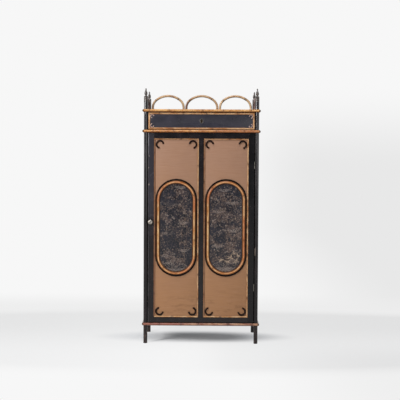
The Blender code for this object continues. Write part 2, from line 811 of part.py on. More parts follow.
def stile(name, side, more_cuts=()):
    """An upright of the door frame, grooved all along its inner edge."""
    inner = side * (DOOR_X - STILE_W)
    corners = span((inner, DOOR_FACE, DOOR_LOW), (side * DOOR_X, DOOR_BACK, DOOR_HIGH))
    low, high = sorted((inner - side * OVERRUN, inner + side * DOOR_GROOVE_D))
    groove = groove_span(low, high, DOOR_LOW - OVERRUN, DOOR_HIGH + OVERRUN)
    return board(name, *corners, door, LACQUER, [groove, *more_cuts])


def rail(name, low_z, high_z, opening_z, level):
    """A cross bar of the frame: stub tenons in the stiles, and a groove towards the panels."""
    shoulder = DOOR_X - STILE_W - SEAT
    reach = DOOR_X - STILE_W + DOOR_GROOVE_D - SEAT
    low, high = sorted((opening_z - level * OVERRUN, opening_z + level * DOOR_GROOVE_D))
    cuts = [groove_span(-reach - OVERRUN, reach + OVERRUN, low, high)]
    for side in (-1, 1):
        near, far = sorted((side * shoulder, side * (reach + OVERRUN)))
        cuts += cheeks(near, far, low_z - OVERRUN, high_z + OVERRUN)
    board(name, (-reach, DOOR_FACE, low_z), (reach, DOOR_BACK, high_z), door, LACQUER, cuts)


def muntin():
    """The middle upright, grooved on both edges and tenoned into both rails."""
    half = MUNTIN_W / 2
    low = OPENING_LOW - DOOR_GROOVE_D + SEAT
    high = OPENING_HIGH + DOOR_GROOVE_D - SEAT
    cuts = []
    for side in (-1, 1):
        near, far = sorted((side * (half - DOOR_GROOVE_D), side * (half + OVERRUN)))
        cuts.append(groove_span(near, far, low - OVERRUN, high + OVERRUN))
    wide = half + OVERRUN
    cuts += cheeks(-wide, wide, low - OVERRUN, OPENING_LOW + SEAT)
    cuts += cheeks(-wide, wide, OPENING_HIGH - SEAT, high + OVERRUN)
    board("door_muntin", (-half, DOOR_FACE, low), (half, DOOR_BACK, high), door, LACQUER, cuts)


def door_frame():
    gains = []
    for z in hinge_heights():
        half = HINGE_H / 2 + SEAT
        near = (DOOR_X - LEAF_T - SEAT, DOOR_FACE - OVERRUN, z - half)
        gains.append((near, (DOOR_X + OVERRUN, LEAF_FRONT + DOOR_LEAF_W + SEAT, z + half)))
    stile("door_stile_hinge", 1, gains)
    bored = stile("door_stile_knob", -1)
    combine(bored, spindle_hole("door_spindle_hole"))
    rail("door_rail_top", OPENING_HIGH, DOOR_HIGH, OPENING_HIGH, 1)
    rail("door_rail_bottom", DOOR_LOW, OPENING_LOW, OPENING_LOW, -1)
    muntin()


def door_panels():
    """Two panels in the grooves, each with its border, its plaque and ring, and its corner scrolls."""
    grow = DOOR_GROOVE_D - SEAT
    half_w = OPENING_W / 2 + grow
    half_h = OPENING_H / 2 + grow
    guide = half_round_guide("ring_section", RING_W, RING_H)
    radius = (RING_OUTER_W - RING_W) / 2
    straight = RING_OUTER_H - RING_OUTER_W
    around = 2 * (straight + math.pi * radius)
    nodes = [share * around for share in RING_NODE_SHARES]
    ring = []
    for distance, swell in with_nodes(stadium_breaks(radius, straight, RING_STEPS), nodes):
        ring.append((*stadium_point(distance, radius, straight), swell))
    border_w = OPENING_W - 2 * SEAT
    border_h = OPENING_H - 2 * SEAT
    field_w = border_w - 2 * BORDER_W
    field_h = border_h - 2 * BORDER_W
    border = [rectangle(border_w, border_h), rectangle(field_w, field_h)]
    for side, word in ((-1, "left"), (1, "right")):
        x = side * OPENING_X
        low = (x - half_w, PANEL_FACE, OPENING_Z - half_h)
        high = (x + half_w, PANEL_BACK, OPENING_Z + half_h)
        panel = board(f"door_panel_{word}", low, high, door, TAN)
        place = (x, PANEL_FACE, OPENING_Z)
        name = f"panel_scrolls_{word}"
        scrolls = corner_scrolls(name, field_w, field_h, SCROLL_D, SCROLL_STROKE, door, place)
        combine(panel, scrolls, "UNION")
        place = (x, PANEL_FACE - SEAT - BORDER_T / 2, OPENING_Z)
        name = f"panel_border_{word}"
        flat(name, border, BORDER_T, door, place, TO_FRONT, PALE_CANE, BORDER_ROUND)
        place = (x, PLAQUE_FACE + PLAQUE_T / 2, PLAQUE_Z)
        outline = stadium(PLAQUE_W, PLAQUE_H, RING_STEPS)
        name = f"medallion_plaque_{word}"
        flat(name, [outline], PLAQUE_T, door, place, TO_FRONT, PLAQUE, PLAQUE_ROUND)
        place = (x, PLAQUE_FACE - SEAT, PLAQUE_Z)
        half_round(f"medallion_ring_{word}", ring, guide, True, door, place, TO_FRONT, CANE)


def leaf_outline(width, tabs):
    """A hinge leaf seen along its thickness: a plate behind the barrel, with tabs that reach it."""
    half = HINGE_H / 2
    plate = LEAF_FRONT - PIN_Y
    points = [(plate + width, -half), (plate + width, half)]
    for low, high in reversed(tabs):
        points += [(plate, high), (0, high), (0, low), (plate, low)]
    if tabs[-1][1] == half:
        points = [points[0], points[1], *points[3:]]
    if tabs[0][0] == -half:
        points.pop()
    else:
        points = [points[0], points[1], (plate, half), *points[2:], (plate, -half)]
    return points


def leaf(name, low_x, width, tabs, holder, z):
    place = (low_x + LEAF_T / 2, PIN_Y, z)
    return as_mesh(flat(name, [leaf_outline(width, tabs)], LEAF_T, holder, place, TO_RIGHT))


def hinges():
    """Butt hinges of three knuckles: the case leaf holds the pin, the door leaf turns on it."""
    inner = KNUCKLE_H / 2
    gap = SEAT / 2
    outer = HINGE_H / 2
    pin = HINGE_PIN_D / 2
    pinned = [(0, outer), (KNUCKLE_R, outer), (KNUCKLE_R, inner + gap), (pin, inner + gap)]
    pinned += [(radius, -height) for radius, height in reversed(pinned)]
    sleeve = [(0, inner - gap), (KNUCKLE_R, inner - gap), (KNUCKLE_R, gap - inner), (0, gap - inner)]
    bore = [(0, outer), (pin + SEAT, outer), (pin + SEAT, -outer), (0, -outer)]
    for z, word in zip(hinge_heights(), ("lower", "upper")):
        place = (PIN_X, PIN_Y, z)
        name = f"hinge_{word}_case"
        fixed = turned(name, pinned, BARREL_SIDES, cabinet, place, UPRIGHT, BRASS)
        tabs = [(-outer, -inner - gap), (inner + gap, outer)]
        combine(fixed, leaf(name + "_leaf", CLEAR_X, CASE_LEAF_W, tabs, cabinet, z), "UNION")
        name = f"hinge_{word}_door"
        swung = turned(name, sleeve, BARREL_SIDES, door, place, UPRIGHT, BRASS)
        tabs = [(gap - inner, inner - gap)]
        plate = leaf(name + "_leaf", DOOR_X - LEAF_T, DOOR_LEAF_W, tabs, door, z)
        combine(swung, plate, "UNION")
        combine(swung, turned(name + "_bore", bore, BARREL_SIDES, door, place))


# The knob and latch

def spindle_hole(name, clear=SPINDLE_CLEAR):
    """A cutter along the knob's axis, wide enough for the spindle."""
    radius = SPINDLE_D / 2 + clear
    front = -KNOB_TIP + KNOB_L
    back = -SPINDLE_END - OVERRUN
    profile = [(0, front), (radius, front), (radius, back), (0, back)]
    return turned(name, profile, TURNED_SIDES, door, (KNOB_X, 0, KNOB_Z), TO_FRONT)


def knob():
    """A flattened ball on a waisted neck, in one piece with the spindle through the door."""
    neck_z = -KNOB_TIP - KNOB_BALL_H
    flange_z = neck_z - KNOB_NECK_H
    seat_z = flange_z - KNOB_FLANGE_H
    belly = -KNOB_TIP - KNOB_BALL_H / 2
    lowest = math.acos(KNOB_NECK_D / KNOB_D)
    profile = [(0, -KNOB_TIP)]
    for step in range(1, KNOB_STEPS + 1):
        angle = math.pi / 2 - (math.pi / 2 + lowest) * step / KNOB_STEPS
        profile.append((KNOB_D / 2 * math.cos(angle), belly + KNOB_BALL_H / 2 * math.sin(angle)))
    profile += [(KNOB_NECK_D / 2, flange_z + KNOB_FLANGE_H), (KNOB_FLANGE_D / 2, flange_z)]
    profile += [(KNOB_FLANGE_D / 2, seat_z), (SPINDLE_D / 2, seat_z)]
    profile += [(SPINDLE_D / 2, -SPINDLE_END), (0, -SPINDLE_END)]
    place = (KNOB_X, 0, KNOB_Z)
    turned("door_knob", profile, TURNED_SIDES, latch, place, TO_FRONT, PEWTER)


def rosette():
    """The round plate under the knob."""
    outer = ROSETTE_D / 2
    inner = SPINDLE_D / 2 + SPINDLE_CLEAR
    face = -DOOR_FACE + SEAT
    top = face + ROSETTE_T
    profile = [(outer - ROSETTE_ROUND, top), (outer, top - ROSETTE_ROUND), (outer, face)]
    profile += [(inner, face), (inner, top)]
    place = (KNOB_X, 0, KNOB_Z)
    turned("knob_rosette", profile, TURNED_SIDES, door, place, TO_FRONT, BRASS, closed=True)


def tongue():
    """The lever behind the door that turns from hanging down to behind the keeper."""
    hub = TONGUE_HUB_D / 2
    tip = TONGUE_END_D / 2
    lean = math.asin((hub - tip) / TONGUE_ARM)
    outline = arc(hub, -lean, math.pi + lean, TURNED_SIDES)
    outline += arc(tip, math.pi + lean, 2 * math.pi - lean, TURNED_SIDES // 2, (0, -TONGUE_ARM))
    place = (KNOB_X, (TONGUE_FACE + TONGUE_BACK) / 2, KNOB_Z)
    made = as_mesh(flat("latch_tongue", [outline], TONGUE_T, latch, place, TO_FRONT, STEEL))
    boss = TONGUE_BOSS_D / 2
    front = -place[1]
    profile = [(0, front), (boss, front), (boss, -BOSS_BACK), (0, -BOSS_BACK)]
    axis_place = (KNOB_X, 0, KNOB_Z)
    combine(made, turned("tongue_boss", profile, TURNED_SIDES, latch, axis_place, TO_FRONT), "UNION")
    combine(made, spindle_hole("tongue_hole", SEAT))


def keeper():
    """An angle on the left side panel that the tongue turns in behind."""
    wall = -SIDE_INNER + SEAT
    strike_front = DOOR_BACK + KEEPER_GAP
    outline = [
        (wall, strike_front),
        (wall + KEEPER_STRIKE, strike_front),
        (wall + KEEPER_STRIKE, STRIKE_BACK),
        (wall + KEEPER_T, STRIKE_BACK),
        (wall + KEEPER_T, strike_front + KEEPER_LEG),
        (wall, strike_front + KEEPER_LEG),
    ]
    flat("latch_keeper", [outline], KEEPER_H, cabinet, (0, 0, KNOB_Z), UPRIGHT, BRASS)


# The drawer

def drawer_front():
    """The front: laid scrolls, a keyhole, a pocket for the lock and a groove for the bottom."""
    low = (-DRAWER_X, DOOR_FACE, DRAWER_FRONT_LOW)
    high = (DRAWER_X, DRAWER_BACK, DRAWER_HIGH)
    pocket_x = LOCK_W / 2 + SEAT
    pocket = (
        (-pocket_x, DRAWER_BACK - LOCK_T - SEAT, DRAWER_HIGH - LOCK_H - SEAT),
        (pocket_x, DRAWER_BACK + OVERRUN, DRAWER_HIGH + OVERRUN),
    )
    reach = DRAWER_INNER + DRAWER_GROOVE_D
    groove = (
        (-reach, DRAWER_BACK - DRAWER_GROOVE_D, DRAWER_FLOOR - SEAT),
        (reach, DRAWER_BACK + OVERRUN, DRAWER_FLOOR_TOP + SEAT),
    )
    front = board("drawer_front", low, high, drawer, SCROLLED, [pocket, groove])
    combine(front, key_cutter)
    field_w = 2 * (DRAWER_X - BORDER_INSET - DRAWER_BORDER_W)
    field_h = DRAWER_HIGH - DRAWER_FRONT_LOW - 2 * (BORDER_INSET + DRAWER_BORDER_W)
    size = (field_w, field_h, DRAWER_SCROLL_D, DRAWER_SCROLL_STROKE)
    scrolls = corner_scrolls("drawer_scrolls", *size, drawer, (0, DOOR_FACE, DRAWER_Z))
    combine(front, scrolls, "UNION")
    outlines = [rectangle(field_w + 2 * DRAWER_BORDER_W, field_h + 2 * DRAWER_BORDER_W)]
    outlines.append(rectangle(field_w, field_h))
    place = (0, DOOR_FACE - SEAT - DRAWER_BORDER_T / 2, DRAWER_Z)
    size = (DRAWER_BORDER_T, drawer, place, TO_FRONT, PALE_CANE, BORDER_ROUND)
    flat("drawer_border", outlines, *size)


def drawer_box():
    """Sides grooved for the bottom, a back that stands on it, and the bottom itself."""
    start = DRAWER_BACK + SEAT
    for side, word in ((-1, "left"), (1, "right")):
        near = (side * DRAWER_INNER, start, DRAWER_LOW)
        far = (side * DRAWER_X, DRAWER_END, DRAWER_SIDE_HIGH)
        cut_near = (side * (DRAWER_INNER - OVERRUN), start - OVERRUN, DRAWER_FLOOR - SEAT)
        cut_far = (
            side * (DRAWER_INNER + DRAWER_GROOVE_D),
            DRAWER_END + OVERRUN,
            DRAWER_FLOOR_TOP + SEAT,
        )
        name = f"drawer_side_{word}"
        board(name, *span(near, far), drawer, INSIDE, [span(cut_near, cut_far)])
    reach = DRAWER_INNER - SEAT
    near = (-reach, DRAWER_END - DRAWER_SIDE_T, DRAWER_FLOOR_TOP + SEAT)
    board("drawer_back", near, (reach, DRAWER_END, DRAWER_SIDE_HIGH), drawer, INSIDE)
    reach = DRAWER_INNER + DRAWER_GROOVE_D - SEAT
    near = (-reach, DRAWER_BACK - DRAWER_GROOVE_D + SEAT, DRAWER_FLOOR)
    board("drawer_bottom", near, (reach, DRAWER_END, DRAWER_FLOOR_TOP), drawer, INSIDE)


def keyhole_cutter():
    """The keyhole through the drawer front and a little way into the lock."""
    front = DOOR_FACE - OVERRUN
    back = DRAWER_BACK - LOCK_T + KEYHOLE_BLIND
    place = (0, (front + back) / 2, DRAWER_Z)
    return as_mesh(flat("keyhole", [keyhole(KEYHOLE_DROP)], back - front, drawer, place, TO_FRONT))


def lock():
    """A lock let into the back of the front, its bolt drawn down, and the plate over the keyhole."""
    low = (-LOCK_W / 2, DRAWER_BACK - LOCK_T, DRAWER_HIGH - LOCK_H)
    high = (LOCK_W / 2, DRAWER_BACK, DRAWER_HIGH)
    half_x = BOLT_W / 2
    half_y = BOLT_T / 2
    slot = (
        (-half_x - SEAT, LOCK_Y - half_y - SEAT, BOLT_TOP - BOLT_L - SEAT),
        (half_x + SEAT, LOCK_Y + half_y + SEAT, DRAWER_HIGH + OVERRUN),
    )
    case = board("lock_case", low, high, drawer, BRASS, [slot])
    combine(case, key_cutter)
    near = (-half_x, LOCK_Y - half_y, BOLT_TOP - BOLT_L)
    board("lock_bolt", near, (half_x, LOCK_Y + half_y, BOLT_TOP), bolt, BRASS)
    angles = [2 * math.pi * step / ESCUTCHEON_STEPS for step in range(ESCUTCHEON_STEPS)]
    plate = [(ESCUTCHEON_W / 2 * math.cos(a), ESCUTCHEON_H / 2 * math.sin(a)) for a in angles]
    place = (0, DOOR_FACE - SEAT - ESCUTCHEON_T / 2, DRAWER_Z)
    outlines = [plate, keyhole(KEYHOLE_DROP)]
    flat("keyhole_escutcheon", outlines, ESCUTCHEON_T, drawer, place, TO_FRONT, BRASS)


cabinet = axis("cabinet_centre", (0, DEPTH_SHIFT, 0))
door = axis("door_axis", (PIN_X, PIN_Y, OPENING_Z), cabinet)
latch = axis("latch_axis", (KNOB_X, DOOR_FACE, KNOB_Z), door)
drawer = axis("drawer_slide", (0, DOOR_FACE, DRAWER_Z), cabinet)
bolt = axis("bolt_slide", (0, LOCK_Y, BOLT_TOP), drawer)
key_cutter = keyhole_cutter()

posts()
boards()
panels()
rods()
gallery()
door_frame()
door_panels()
hinges()
knob()
rosette()
tongue()
keeper()
drawer_front()
drawer_box()
lock()
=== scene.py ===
"""Looks of the tall cane-trimmed cabinet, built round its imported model.

Places are in the model's own frame: metres, +Z up, the front faces -Y. Wood keeps the
model's shapes with eased edges. Canes, scrolls, plates and turned parts are finer pieces
in the model's places, and the plaques carry a raised gilt ornament.
"""
import math
import random

import bmesh
import bpy
from mathutils import Matrix, Vector, noise


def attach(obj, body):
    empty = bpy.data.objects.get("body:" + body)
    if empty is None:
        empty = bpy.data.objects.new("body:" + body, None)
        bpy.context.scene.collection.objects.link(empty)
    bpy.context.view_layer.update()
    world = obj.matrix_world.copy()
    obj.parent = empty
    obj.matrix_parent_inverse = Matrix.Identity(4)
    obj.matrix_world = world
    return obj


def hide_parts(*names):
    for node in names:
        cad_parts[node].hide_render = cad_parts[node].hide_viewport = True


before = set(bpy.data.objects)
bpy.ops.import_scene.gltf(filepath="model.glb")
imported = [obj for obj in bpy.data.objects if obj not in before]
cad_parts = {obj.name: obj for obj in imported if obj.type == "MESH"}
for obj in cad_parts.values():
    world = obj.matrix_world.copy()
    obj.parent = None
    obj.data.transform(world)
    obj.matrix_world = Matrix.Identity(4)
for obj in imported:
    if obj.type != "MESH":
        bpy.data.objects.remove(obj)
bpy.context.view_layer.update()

X, Y, Z = Vector((1, 0, 0)), Vector((0, 1, 0)), Vector((0, 0, 1))
SIDES = ((-1, "left"), (1, "right"))
ENDS = ((-1, "front"), (1, "back"))
CORNERS = [(-1, -1), (-1, 1), (1, -1), (1, 1)]

# Sizes of the model that the finer pieces share, in its cabinet coordinates
SHIFT = 0.01115
SEAT = 0.0003
WIDTH, DEPTH = 0.748, 0.380
POST_X, POST_Y, POST_R = 0.361, 0.177, 0.013
POST_TOP, POST_SHOULDER = 1.664, 1.614
TOP_TOP = 1.529
ROD_W, ROD_H = 0.018, 0.009
ARCH_D, ARCH_GAP, ARCH_LEG = 0.016, 0.003, 0.0265
DOOR_FACE = -0.186
OPENING_X, OPENING_Z = 0.16175, 0.756
OPENING_W, OPENING_H = 0.2935, 1.170
PANEL_FACE, PANEL_T, PANEL_TONGUE = -0.181, 0.008, 0.0057
BORDER_W, BORDER_T = 0.0105, 0.003
PLAQUE_FACE = -0.1873
RING_W, RING_H = 0.019, 0.009
RING_OUTER_W, RING_OUTER_H = 0.2525, 0.615
PLAQUE_Z = OPENING_Z + 0.003
SCROLL_D, SCROLL_STROKE = 0.057, 0.0118
SMALL_SCROLL_D, SMALL_SCROLL_STROKE = 0.025, 0.0045
SCROLL_OPENING = math.radians(102)
DRAWER_X, DRAWER_LOW, DRAWER_HIGH = 0.345, 1.3985, 1.508
DRAWER_Z = (DRAWER_LOW + DRAWER_HIGH) / 2
DRAWER_T, LOCK_X, LOCK_H, LOCK_T = 0.018, 0.0203, 0.0683, 0.0103
DRAWER_BORDER_W, DRAWER_BORDER_T, DRAWER_MARGIN = 0.012, 0.0025, 0.0005
PLATE_W, PLATE_H, PLATE_T = 0.011, 0.0155, 0.0015
KNOB_X, KNOB_Z = -0.3295, 0.797046
HINGE_LEVELS = {"lower": 0.370132, "upper": 1.168588}

# The front rods: height, shares of the length at which nodes lie, and how pale they are along it
RODS = {
    "top": (1.520, (0.05, 0.22, 0.51, 0.69, 0.93), 0.95),
    "middle": (1.387, (0.08, 0.26, 0.40, 0.63, 0.87), ((0, 0.85), (0.58, 0.85), (0.66, 0.35), (1, 0.35))),
    "bottom": (0.127, (0.14, 0.33, 0.48, 0.74, 0.95), ((0, 0.1), (0.3, 0.1), (0.42, 0.85), (1, 0.85))),
}
SIDE_ROD_NODES = (0.16, 0.46, 0.82)
RING_NODES = (0.07, 0.27, 0.44, 0.6, 0.81)
# How pale each ring is: up the right arm, over the top, down the left arm, round the foot
RING_TONES = {
    "left": ((0, 0.85), (0.18, 0.9), (0.21, 0.1), (0.25, 0.15), (0.27, 0.55), (0.42, 0.5), (0.44, 0.15),
             (0.5, 0.2), (0.53, 0.95), (0.72, 1.0), (0.78, 0.7), (0.88, 0.6), (0.9, 0.25), (0.98, 0.3),
             (1, 0.85)),
    "right": ((0, 0.2), (0.16, 0.25), (0.18, 0.7), (0.27, 0.65), (0.42, 0.55), (0.44, 0.05), (0.5, 0.15),
              (0.53, 1.0), (0.74, 0.95), (0.79, 0.6), (0.95, 0.7), (1, 0.2)),
}


def cab(x, y, z):
    """A place in the cabinet's coordinates, moved into the frame of the model."""
    return Vector((x, y + SHIFT, z))


def linear(text):
    """An sRGB colour such as #c0a080 as linear red, green, blue and alpha."""
    channels = [int(text[i:i + 2], 16) / 255 for i in (1, 3, 5)]
    return (*[c / 12.92 if c <= 0.04045 else ((c + 0.055) / 1.055) ** 2.4 for c in channels], 1)


def turns(count):
    return [2 * math.pi * k / count for k in range(count)]


# Materials

ALONG = {"x": (40, 1, 1), "y": (1, 40, 1), "z": (1, 1, 40)}


class Look:
    """A material whose colour is laid on in layers, with short ways to add nodes to it."""

    def __init__(self, name, slot, colour, **sockets):
        self.material = bpy.data.materials.new(name)
        self.material.use_nodes = True
        self.tree = self.material.node_tree
        self.shader = self.tree.nodes["Principled BSDF"]
        self.place = self.node("ShaderNodeTexCoord").outputs["Object"]
        self.colour = colour
        for socket, value in sockets.items():
            self.shader.inputs[socket.replace("_", " ")].default_value = value

    def node(self, kind, inputs=(), **settings):
        made = self.tree.nodes.new(kind)
        for key, value in settings.items():
            setattr(made, key, value)
        for socket, value in dict(inputs).items():
            self.feed(made.inputs[socket], value)
        return made

    def feed(self, socket, value):
        """Links a socket, or sets it to a number, a vector or a colour in text."""
        if isinstance(value, bpy.types.NodeSocket):
            self.tree.links.new(value, socket)
        else:
            socket.default_value = linear(value) if isinstance(value, str) else value

    def vector(self, x, y, z):
        return self.node("ShaderNodeCombineXYZ", {0: x, 1: y, 2: z}).outputs[0]

    def split(self, vector):
        return self.node("ShaderNodeSeparateXYZ", {0: vector}).outputs

    def uv(self, name):
        return self.split(self.node("ShaderNodeUVMap", uv_map=name).outputs[0])

    def length(self, vector):
        return self.node("ShaderNodeVectorMath", {0: vector}, operation="LENGTH").outputs["Value"]

    def calc(self, operation, a, b=0.5):
        return self.node("ShaderNodeMath", {0: a, 1: b}, operation=operation).outputs[0]

    def times(self, value, *others):
        for other in others:
            value = self.calc("MULTIPLY", value, other)
        return value

    def noise(self, size, stretch=(1, 1, 1), detail=3.0, rough=0.55, vector=None, turn=(0, 0, 0)):
        """Noise with features of about the given size in metres, longer where stretch is more."""
        scale = [1 / (size * s) for s in stretch]
        inputs = {"Vector": vector or self.place, "Scale": scale, "Rotation": turn}
        moved = self.node("ShaderNodeMapping", inputs, vector_type="POINT").outputs[0]
        inputs = {"Vector": moved, "Scale": 1.0, "Detail": detail, "Roughness": rough}
        return self.node("ShaderNodeTexNoise", inputs).outputs["Fac"]

    def span(self, value, low, high, to_low=0.0, to_high=1.0, smooth=True):
        """A value brought from one range to another and held inside it."""
        kind = "SMOOTHSTEP" if smooth else "LINEAR"
        inputs = {"Value": value, "From Min": low, "From Max": high, "To Min": to_low, "To Max": to_high}
        return self.node("ShaderNodeMapRange", inputs, interpolation_type=kind).outputs[0]

    def mix(self, share, a, b):
        return self.node("ShaderNodeMix", {0: share, 6: a, 7: b}, data_type="RGBA").outputs[2]

    def layer(self, share, colour):
        """Lays a colour over the ones below, as far as the share says."""
        self.colour = self.mix(share, self.colour, colour)

    def bump(self, height, distance, strength=1.0):
        """Adds relief of the given depth in metres on top of what is there."""
        inputs = {"Height": height, "Distance": distance, "Strength": strength}
        before = self.shader.inputs["Normal"].links
        if before:
            inputs["Normal"] = before[0].from_socket
        self.feed(self.shader.inputs["Normal"], self.node("ShaderNodeBump", inputs).outputs[0])

    def finish(self, roughness):
        self.feed(self.shader.inputs["Base Color"], self.colour)
        self.feed(self.shader.inputs["Roughness"], roughness)
        return self.material


def lacquer(name, grain, base="#0e0808", haze="#1c1315", wear=0.0, specular=0.36, low=0.17, relief=1.0,
            spots=(), worn_line_and_sheen_x=None, shine=None, slot="black_lacquer"):
    """Old black lacquer over wood: cloudy, finely scratched, and worn through in places; on the knob stile
    also a painted sheen higher up and a painted shadow by the knob.
    """
    look = Look(name, slot, base, Specular_IOR_Level=specular)
    x, _, height = look.split(look.place)
    clouds = look.noise(0.085, detail=4)
    look.layer(look.span(clouds, 0.38, 0.68), haze)
    lines = look.noise(0.0022, ALONG[grain], detail=2)
    look.layer(look.span(lines, 0.52, 0.85, 0, 0.35), "#2b2428")
    scratches = look.span(look.noise(0.0011, (1, 1, 70), detail=1, turn=(0.5, 0.35, 0)), 0.70, 0.78)
    look.layer(look.times(scratches, look.span(clouds, 0.45, 0.6), 0.45), "#77726e")
    level = 0.735 - 0.235 * wear
    chips = look.times(look.span(look.noise(0.0065, detail=5, rough=0.6), level, level + 0.03),
                       look.span(look.noise(0.05, detail=2), 0.5 - 0.2 * wear, 0.62 - 0.2 * wear))
    look.layer(chips, look.mix(look.noise(0.004, ALONG[grain]), "#3d2c20", "#7b6856"))
    feet = look.times(look.span(height, 0.14, 0.03),
                      look.span(look.noise(0.0035, (1, 1, 9), detail=4), 0.48, 0.62))
    look.layer(look.times(feet, 0.75), "#665247")
    flecks = look.noise(0.0032, (1, 1, 2), detail=1)
    look.layer(look.span(flecks, 0.775, 0.79, 0, 0.3 + 0.5 * wear), "#b9b4b0")
    if worn_line_and_sheen_x:
        band = look.times(look.span(x, worn_line_and_sheen_x, worn_line_and_sheen_x - 0.0012),
                          look.span(look.noise(0.012, (1, 1, 5), detail=4), 0.40, 0.58))
        # Painted sheen: the upper stile lighter and bluer, standing in for the reflection of the light from
        # the upper left.
        look.layer(look.span(height, 0.60, 0.95, 0, 0.8), look.mix(clouds, "#302d32", "#413e44"))
        look.layer(look.times(band, look.span(height, 1.15, 1.32, 0.12, 0.8)), "#9b979a")
    for centre, size, tint in spots:
        inputs = {"Vector": look.place, "Location": centre, "Scale": size}
        reach = look.length(look.node("ShaderNodeMapping", inputs, vector_type="TEXTURE").outputs[0])
        ragged = look.span(look.noise(0.006, (1, 1, 3), detail=4), 0.2, 0.8, -0.9, 0.9, False)
        look.layer(look.span(look.calc("ADD", reach, ragged), 1.0, 0.8, 0, 0.9), tint)
    if shine:
        rubbed = look.span(look.noise(0.009), 0.36, 0.6, 0.15, 0.75)
        look.layer(look.times(look.span(height, 1.572, 1.59), rubbed), "#5d4f45")
        look.feed(look.shader.inputs["Specular IOR Level"], look.span(height, 0.55, 1.35, *shine))
    look.bump(lines, 0.00012, relief)
    look.bump(look.noise(0.011, detail=2), 0.0002, relief)
    look.bump(look.calc("SUBTRACT", 1.0, chips), 0.0002)
    return look.finish(look.calc("MAXIMUM", look.span(clouds, 0.3, 0.75, low, low + 0.15),
                                 look.times(look.calc("MAXIMUM", chips, feet), 0.72)))


def stained(name, grain, dark="#2b1d13", mid="#4a3322", pale="#664a33"):
    """Plain stained wood with its grain: the inside, the shelves and the back."""
    look = Look(name, "stained_inside", dark, Specular_IOR_Level=0.3)
    fine = look.noise(0.0013, ALONG[grain])
    stains = look.noise(0.16, detail=4)
    look.layer(look.span(look.noise(0.012, ALONG[grain]), 0.36, 0.64), mid)
    look.layer(look.span(fine, 0.45, 0.75, 0, 0.6), pale)
    pores = look.noise(0.0007, tuple(s / 2 if s > 1 else 1 for s in ALONG[grain]), detail=1)
    look.layer(look.span(pores, 0.64, 0.72, 0, 0.7), dark)
    look.layer(look.span(stains, 0.5, 0.75, 0, 0.5), dark)
    look.bump(fine, 0.0002)
    return look.finish(look.span(stains, 0.3, 0.7, 0.5, 0.68))


def cane(name, slot, colours, mottle=0.5, shade_and_dirt_sides=(0.15, 0.44), lean=0.5, specular=0.5, coat=0.25):
    """Varnished cane: fibres along it, a dark scar at each node, scorched about the nodes. Its sides are
    darkened with dirt and painted shade, which leaves a painted highlight line that lean turns towards the
    light.
    """
    pale, mid, dark, knot, blush = colours.split()
    look = Look(name, slot, mid, Specular_IOR_Level=specular, Coat_Weight=coat, Coat_Roughness=0.2)
    along, around, _ = look.uv("cane")
    gap, tone, _ = look.uv("nodes")
    seed = look.times(tone, 9.0)

    def grain(per_metre, per_turn, detail=3, rough=0.55):
        place = look.vector(look.times(along, per_metre), look.times(around, per_turn), seed)
        return look.noise(1, detail=detail, rough=rough, vector=place)

    fibres, clouds, specks = grain(28.0, 42.0), grain(21.0, 2.4, rough=0.6), grain(150.0, 9.0, 2)
    look.layer(look.span(clouds, 0.34, 0.62), pale)
    look.layer(look.span(tone, 0.0, 1.0, 0.9, 0.0, False), blush)
    look.layer(look.span(fibres, 0.45, 0.78, 0, 0.6), mid)
    look.layer(look.times(look.span(clouds, 0.42, 0.28), look.span(specks, 0.42, 0.6, 0.35, 1), mottle), dark)
    halo = look.times(look.span(gap, 0.019, 0.002), look.span(specks, 0.36, 0.6, 0.25, 1))
    look.layer(look.times(halo, 0.62), dark)
    look.layer(look.times(look.span(gap, 0.0021, 0.0008), 0.85), knot)
    # Painted shade and dirt: the cane's sides darkened towards the dark colour, leaving a painted highlight
    # line along it, set off by lean towards the light.
    turned = look.calc("FRACT", look.calc("ADD", around, 1.5 - lean))
    look.layer(look.span(look.calc("ABSOLUTE", look.calc("SUBTRACT", turned, 0.5)), *shade_and_dirt_sides, 0, 0.93), dark)
    look.layer(look.times(look.span(grain(420.0, 11.0, 1), 0.74, 0.79), 0.7), knot)
    look.bump(fibres, 0.00025)
    look.bump(clouds, 0.0003)
    return look.finish(look.calc("MAXIMUM", look.span(fibres, 0.3, 0.75, 0.26, 0.42),
                                 look.span(halo, 0, 1, 0, 0.55)))


def end_grain(name):
    """The cut end of a cane: open pores in a darker pith."""
    look = Look(name, "golden_cane", "#2a190f", Specular_IOR_Level=0.2)
    pores = look.noise(0.0008, detail=1)
    look.layer(look.span(pores, 0.42, 0.62), "#7d5836")
    look.bump(pores, 0.0003)
    return look.finish(look.span(pores, 0.3, 0.7, 0.6, 0.85))


def tan_paint(name):
    """Old satin tan paint over wood: pinker at the top, more golden lower down, a few stains."""
    look = Look(name, "tan_panel", "#aa7b54", Specular_IOR_Level=0.35)
    height = look.split(look.place)[2]
    wander = look.noise(0.21)
    level = look.calc("ADD", height, look.span(wander, 0.2, 0.8, -0.22, 0.22, False))
    look.layer(look.span(level, 0.25, 1.25, smooth=False), "#a17a61")
    grain = look.noise(0.0024, ALONG["x"])
    look.layer(look.span(grain, 0.42, 0.75, 0, 0.4), "#916548")
    look.layer(look.span(look.noise(0.014, (9, 1, 1)), 0.5, 0.8, 0, 0.2), "#bc9075")
    stains = look.span(look.noise(0.02, (3, 1, 1), detail=5), 0.5, 0.68)
    look.layer(look.times(look.span(height, 0.42, 0.2), stains, 0.45), "#80593c")
    look.layer(look.times(look.span(look.noise(0.004, detail=4, rough=0.65), 0.72, 0.76), 0.6), "#6b4530")
    look.bump(grain, 0.00012)
    look.bump(look.noise(0.006, detail=2), 0.0001)
    return look.finish(look.span(wander, 0.3, 0.7, 0.38, 0.52))


def clearing(look):
    """The broad drift of the gilding: low where the ground stays bare, high where it is dense."""
    return look.noise(0.05, (1.3, 1, 1), rough=0.6)


